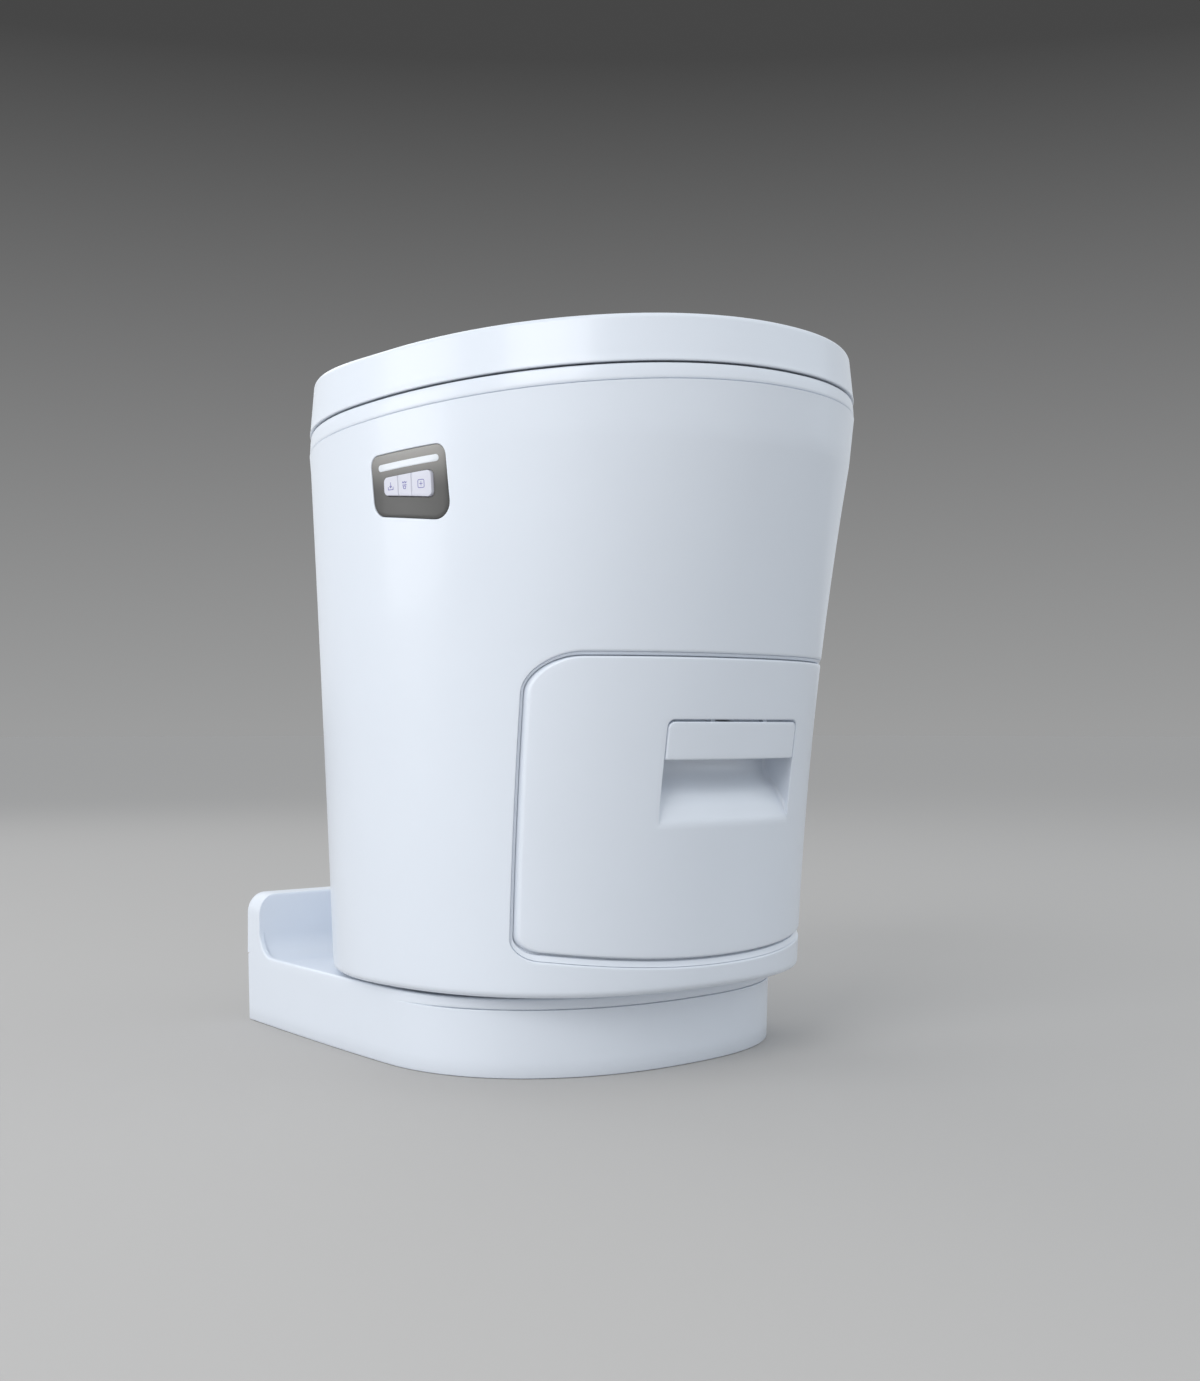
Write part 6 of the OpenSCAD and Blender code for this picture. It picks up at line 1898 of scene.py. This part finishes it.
    def station(self, y: float, floor: float, rim_high: float) -> Array:
        """Works out one station of the rear: up the wall, over the rim, down and across to the middle.

        Args:
            y: Its place along.
            floor: Height of the pocket or the top.
            rim_high: Height of the rim.

        Returns:
            Points x 3 on the +X side.
        """
        z = self.wall_rows()[0]
        x_out = float(self.side_x(y))
        wall_z = np.minimum(z, rim_high)
        top = min(rim_high - self.fillet_r, self.upright_z - self.corner_r)
        cheek = wall_z[-1] + (max(top, wall_z[-1]) - wall_z[-1]) * np.linspace(0, 1, self.cheek_rows + 1)[1:]
        offsets, across = np.array(self.offsets), np.minimum(np.array(self.arc), x_out)

        def limit(off: Array) -> Array:
            """Works out the height of the upright's rounded corner at distances in from the wall."""
            inside = np.clip(self.corner_r - off, 0, self.corner_r)
            return self.upright_z - (self.corner_r - np.sqrt(np.clip(self.corner_r ** 2 - inside ** 2, 0, None)))

        rounded = rim_high > self.rim_z - self.step_down
        rim = self.fillet(offsets, rim_high) if rounded else np.full(len(offsets), rim_high)
        lean = float(self.leaning(rim_high))
        xs = np.concatenate([x_out - self.leaning(wall_z), np.full(self.cheek_rows, x_out - lean),
                             x_out - np.maximum(offsets, lean), x_out - across])
        zs = np.concatenate([wall_z, np.minimum(cheek, rim_high), np.minimum(rim, limit(offsets)),
                             np.minimum(floor, limit(across))])
        return points_of(xs, y, zs)

    def build(self) -> None:
        """Builds the housing as two skins that meet at the widest line: a round front and a swept rear."""
        draft = Draft()
        low = self.drum(draft)
        half = np.stack([self.station(*place) for place in self.stations()])
        draft.grid(half, flip=True)
        draft.grid(half * [-1, 1, 1])
        right = np.concatenate([half[1:, 0], half[-1, 1:-1]])
        self.underside(draft, np.concatenate([low, right, half[-1, -1:], right[::-1] * [-1, 1, 1]]))
        put(draft.build("base_skin", sharp=42), "base", "white_gloss", Tone.WHITE.material, "base_housing")

    def underside(self, draft: Draft, foot: Array) -> None:
        """Adds the foot's underside: its edge, the inner wall and the ceiling over the floor plate.

        Args:
            draft: The mesh.
            foot: Lower edge of the outer wall, anticlockwise from above.
        """
        foot = foot[np.linalg.norm(foot - np.roll(foot, 1, axis=0), axis=1) > self.least_step]
        ahead = np.roll(foot, -1, axis=0) - np.roll(foot, 1, axis=0)
        ahead /= np.linalg.norm(ahead, axis=1)[:, None]
        inward = np.stack([-ahead[:, 1], ahead[:, 0], np.zeros(len(foot))], -1)
        inner = foot + inward * (self.wall - self.draft_in)
        ceiling = inner + [0.0, 0.0, self.ceiling_z]
        draft.grid([foot, inner, ceiling], wrap=True, flip=True)
        draft.cap(ceiling, flip=True)


@dataclass
class RearCover:
    """Flat cover on the rear of the base, with round upper corners and a soft rear edge."""

    half_w: float = 131.0
    low_z: float = 54.9
    high_z: float = 103.6
    corner_r: float = 15.8
    front_y: float = 236.15
    rear_y: float = 239.6
    edge: tuple[Pair, ...] = ((0.8, 0.0), (0.28, 0.25), (0.0, 0.8))

    def build(self) -> None:
        """Builds the cover in place of its node: its outline at stations along Y."""
        turn = np.linspace(0, QUARTER, 14)
        right = np.stack([self.half_w + self.corner_r * (np.cos(turn) - 1),
                          self.high_z + self.corner_r * (np.sin(turn) - 1)], -1)
        shape = np.concatenate([[[self.half_w, self.low_z]], right, right[::-1] * [-1, 1],
                                [[-self.half_w, self.low_z]]])
        side = np.sign(shape - [0.0, (self.low_z + self.high_z) / 2])
        stations = ((self.front_y, 0.0), *((self.rear_y - before, back) for before, back in self.edge))
        draft = Draft()
        draft.tube([np.insert(shape - side * back, 1, y, axis=1) for y, back in stations], flip=True)
        put(draft.build("rear_cover_skin", sharp=35), "base", "white_gloss", Tone.WHITE.material, "rear_cover")


# -------- kept nodes


NODE_TONES: dict[Tone, tuple[str, ...]] = {
    Tone.BRIGHT: (
        "rear_cover_screws", "hub_nut", "turntable_screws", "front_panel_screws", "paddle_pin", "catch_plate",
        "magnet_bracket", "guide_rods", "lead_screw", "hinge_pins"),
    Tone.DARK: ("cable_inlet", "control_unit", "film_cassette", "cassette_cover"),
    Tone.ZINC: (
        "floor_plate", "left_side_frame", "right_side_frame", "slide_outer_channels", "slide_middle_channels",
        "slide_inner_rails"),
    Tone.INNER: ("slide_ring", "turntable", "body_pan", "drawer_tray", "seal_frame", "bowl"),
    Tone.GREY: ("waste_bin",),
    Tone.MOTOR: ("catch_magnet", "gear_motor"),
    Tone.JAW: ("front_jaw", "rear_jaw"),
    Tone.RUBBER: ("heater_strip", "seal_pad", "seat_buffers", "lid_buffers"),
    Tone.FILM: ("film_pack",),
    Tone.WHITE: ("hinge_brackets",),
    Tone.BOARD: ("button_board",),
}


def dress_nodes() -> None:
    """Gives every node of the frame that stays its finish."""
    for tone, names in NODE_TONES.items():
        for name in names:
            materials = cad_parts[name].data.materials
            materials.clear()
            materials.append(tone.material)
            LOG.info("dressed %s", name)


# -------- stage


@dataclass(frozen=True)
class Lamp:
    """Large soft lamp that is aimed at the toilet."""

    name: str
    place: Triple
    size: float
    power: float
    colour: Triple = (1.0, 1.0, 1.0)


@dataclass
class Stage:
    """Pale floor, soft lamps, a plain world and the camera at the photograph's angle."""

    camera_place: Triple = (-0.8895, -0.9939, 0.239)
    heading: float = 43.1
    focal_px: float = 1731.3
    horizon_px: float = 727.3
    frame_px: tuple[int, int] = (1200, 1381)
    sensor_mm: float = 36.0
    clip_m: Pair = (0.02, 200.0)
    floor_r: float = 40.0
    floor_z: float = -0.0002
    floor_colour: Triple = (0.50, 0.49, 0.48)
    sky: Triple = (0.94, 0.97, 1.0)
    sky_strength: float = 0.72
    backdrop_low: Triple = (0.335, 0.337, 0.338)
    backdrop_high: Triple = (0.062, 0.062, 0.062)
    backdrop_top: float = 0.36
    target: Triple = (0.0, 0.0, 0.25)
    lights: tuple[Lamp, ...] = (
        Lamp("key", (-2.8, -0.9, 1.9), 1.8, 41.0),
        Lamp("side", (-2.2, 1.3, 0.9), 1.2, 12.0),
        Lamp("fill", (2.4, -1.9, 1.6), 2.4, 11.0, (0.80, 0.91, 1.0)),
        Lamp("rear", (0.4, 2.6, 2.4), 2.0, 12.0))

    def camera(self) -> None:
        """Makes the level camera; its shift moves the frame so that the horizon lies where it should."""
        data = bpy.data.cameras.new("camera")
        data.sensor_width = self.sensor_mm
        tall = max(self.frame_px)
        data.lens = self.focal_px * self.sensor_mm / tall
        data.shift_y = (self.horizon_px - self.frame_px[1] / 2) / tall
        data.clip_start, data.clip_end = self.clip_m
        camera = add_object("camera", data)
        camera.location = self.camera_place
        camera.rotation_euler = (QUARTER, 0.0, math.radians(-self.heading))
        bpy.context.scene.camera = camera

    def floor(self) -> None:
        """Makes the pale floor, which runs on to the horizon and takes the soft shadow."""
        mesh = bpy.data.meshes.new("floor")
        r, z = self.floor_r, self.floor_z
        mesh.from_pydata([(-r, -r, z), (r, -r, z), (r, r, z), (-r, r, z)], [], [(0, 1, 2, 3)])
        floor = add_object("floor", mesh)
        material = bpy.data.materials.new("pale_floor")
        material.use_nodes = True
        set_inputs(material.node_tree.nodes["Principled BSDF"], {
            "Base Color": (*self.floor_colour, 1), "Roughness": 1.0, "Specular IOR Level": 0.0})
        mesh.materials.append(material)

    def lamps(self) -> None:
        """Makes the lamps, stronger from the left, each turned towards the toilet."""
        for lamp in self.lights:
            data = bpy.data.lights.new(lamp.name, "AREA")
            data.shape = "SQUARE"
            data.size, data.energy, data.color = lamp.size, lamp.power, lamp.colour
            light = add_object(lamp.name, data)
            light.location = lamp.place
            direction = Vector(self.target) - Vector(lamp.place)
            light.rotation_euler = direction.to_track_quat("-Z", "Y").to_euler()

    def world(self) -> None:
        """Makes the world: even light, and for the camera a backdrop that darkens from the far floor's grey upwards.

        The share of the dark grey is the height of the view's direction over the height at which it is reached.
        """
        world = bpy.data.worlds.new("studio")
        bpy.context.scene.world = world
        world.use_nodes = True
        tree = world.node_tree
        light = tree.nodes["Background"]
        set_inputs(light, {"Color": (*self.sky, 1), "Strength": self.sky_strength})
        seen = add_node(tree, "ShaderNodeBackground", {"Strength": 1.0})
        direction = add_node(tree, "ShaderNodeTexCoord")
        height = add_node(tree, "ShaderNodeSeparateXYZ")
        ramp = add_node(tree, "ShaderNodeValToRGB")
        low, high = ramp.color_ramp.elements
        low.position, high.position = 0.0, self.backdrop_top
        low.color, high.color = (*self.backdrop_low, 1), (*self.backdrop_high, 1)
        link(tree, direction.outputs["Generated"], height.inputs[0])
        link(tree, height.outputs["Z"], ramp.inputs[0])
        link(tree, ramp.outputs[0], seen.inputs["Color"])
        rays = add_node(tree, "ShaderNodeLightPath")
        mix = add_node(tree, "ShaderNodeMixShader")
        link(tree, rays.outputs["Is Camera Ray"], mix.inputs[0])
        link(tree, light.outputs[0], mix.inputs[1])
        link(tree, seen.outputs[0], mix.inputs[2])
        link(tree, mix.outputs[0], tree.nodes["World Output"].inputs["Surface"])

    def build(self) -> None:
        """Makes camera, floor, lamps and world."""
        bpy.context.scene.view_settings.view_transform = "Standard"
        self.camera()
        self.floor()
        self.lamps()
        self.world()


def main() -> None:
    """Builds the stage and every sub-assembly in order."""
    for part in (Stage, Base, RearCover, Shell, Deck, Seat, Lid, DrawerFront, Paddle, KeyPanel):
        part().build()
        LOG.info("finished %s", part.__name__)
    dress_nodes()


if __name__ == "__main__":
    main()
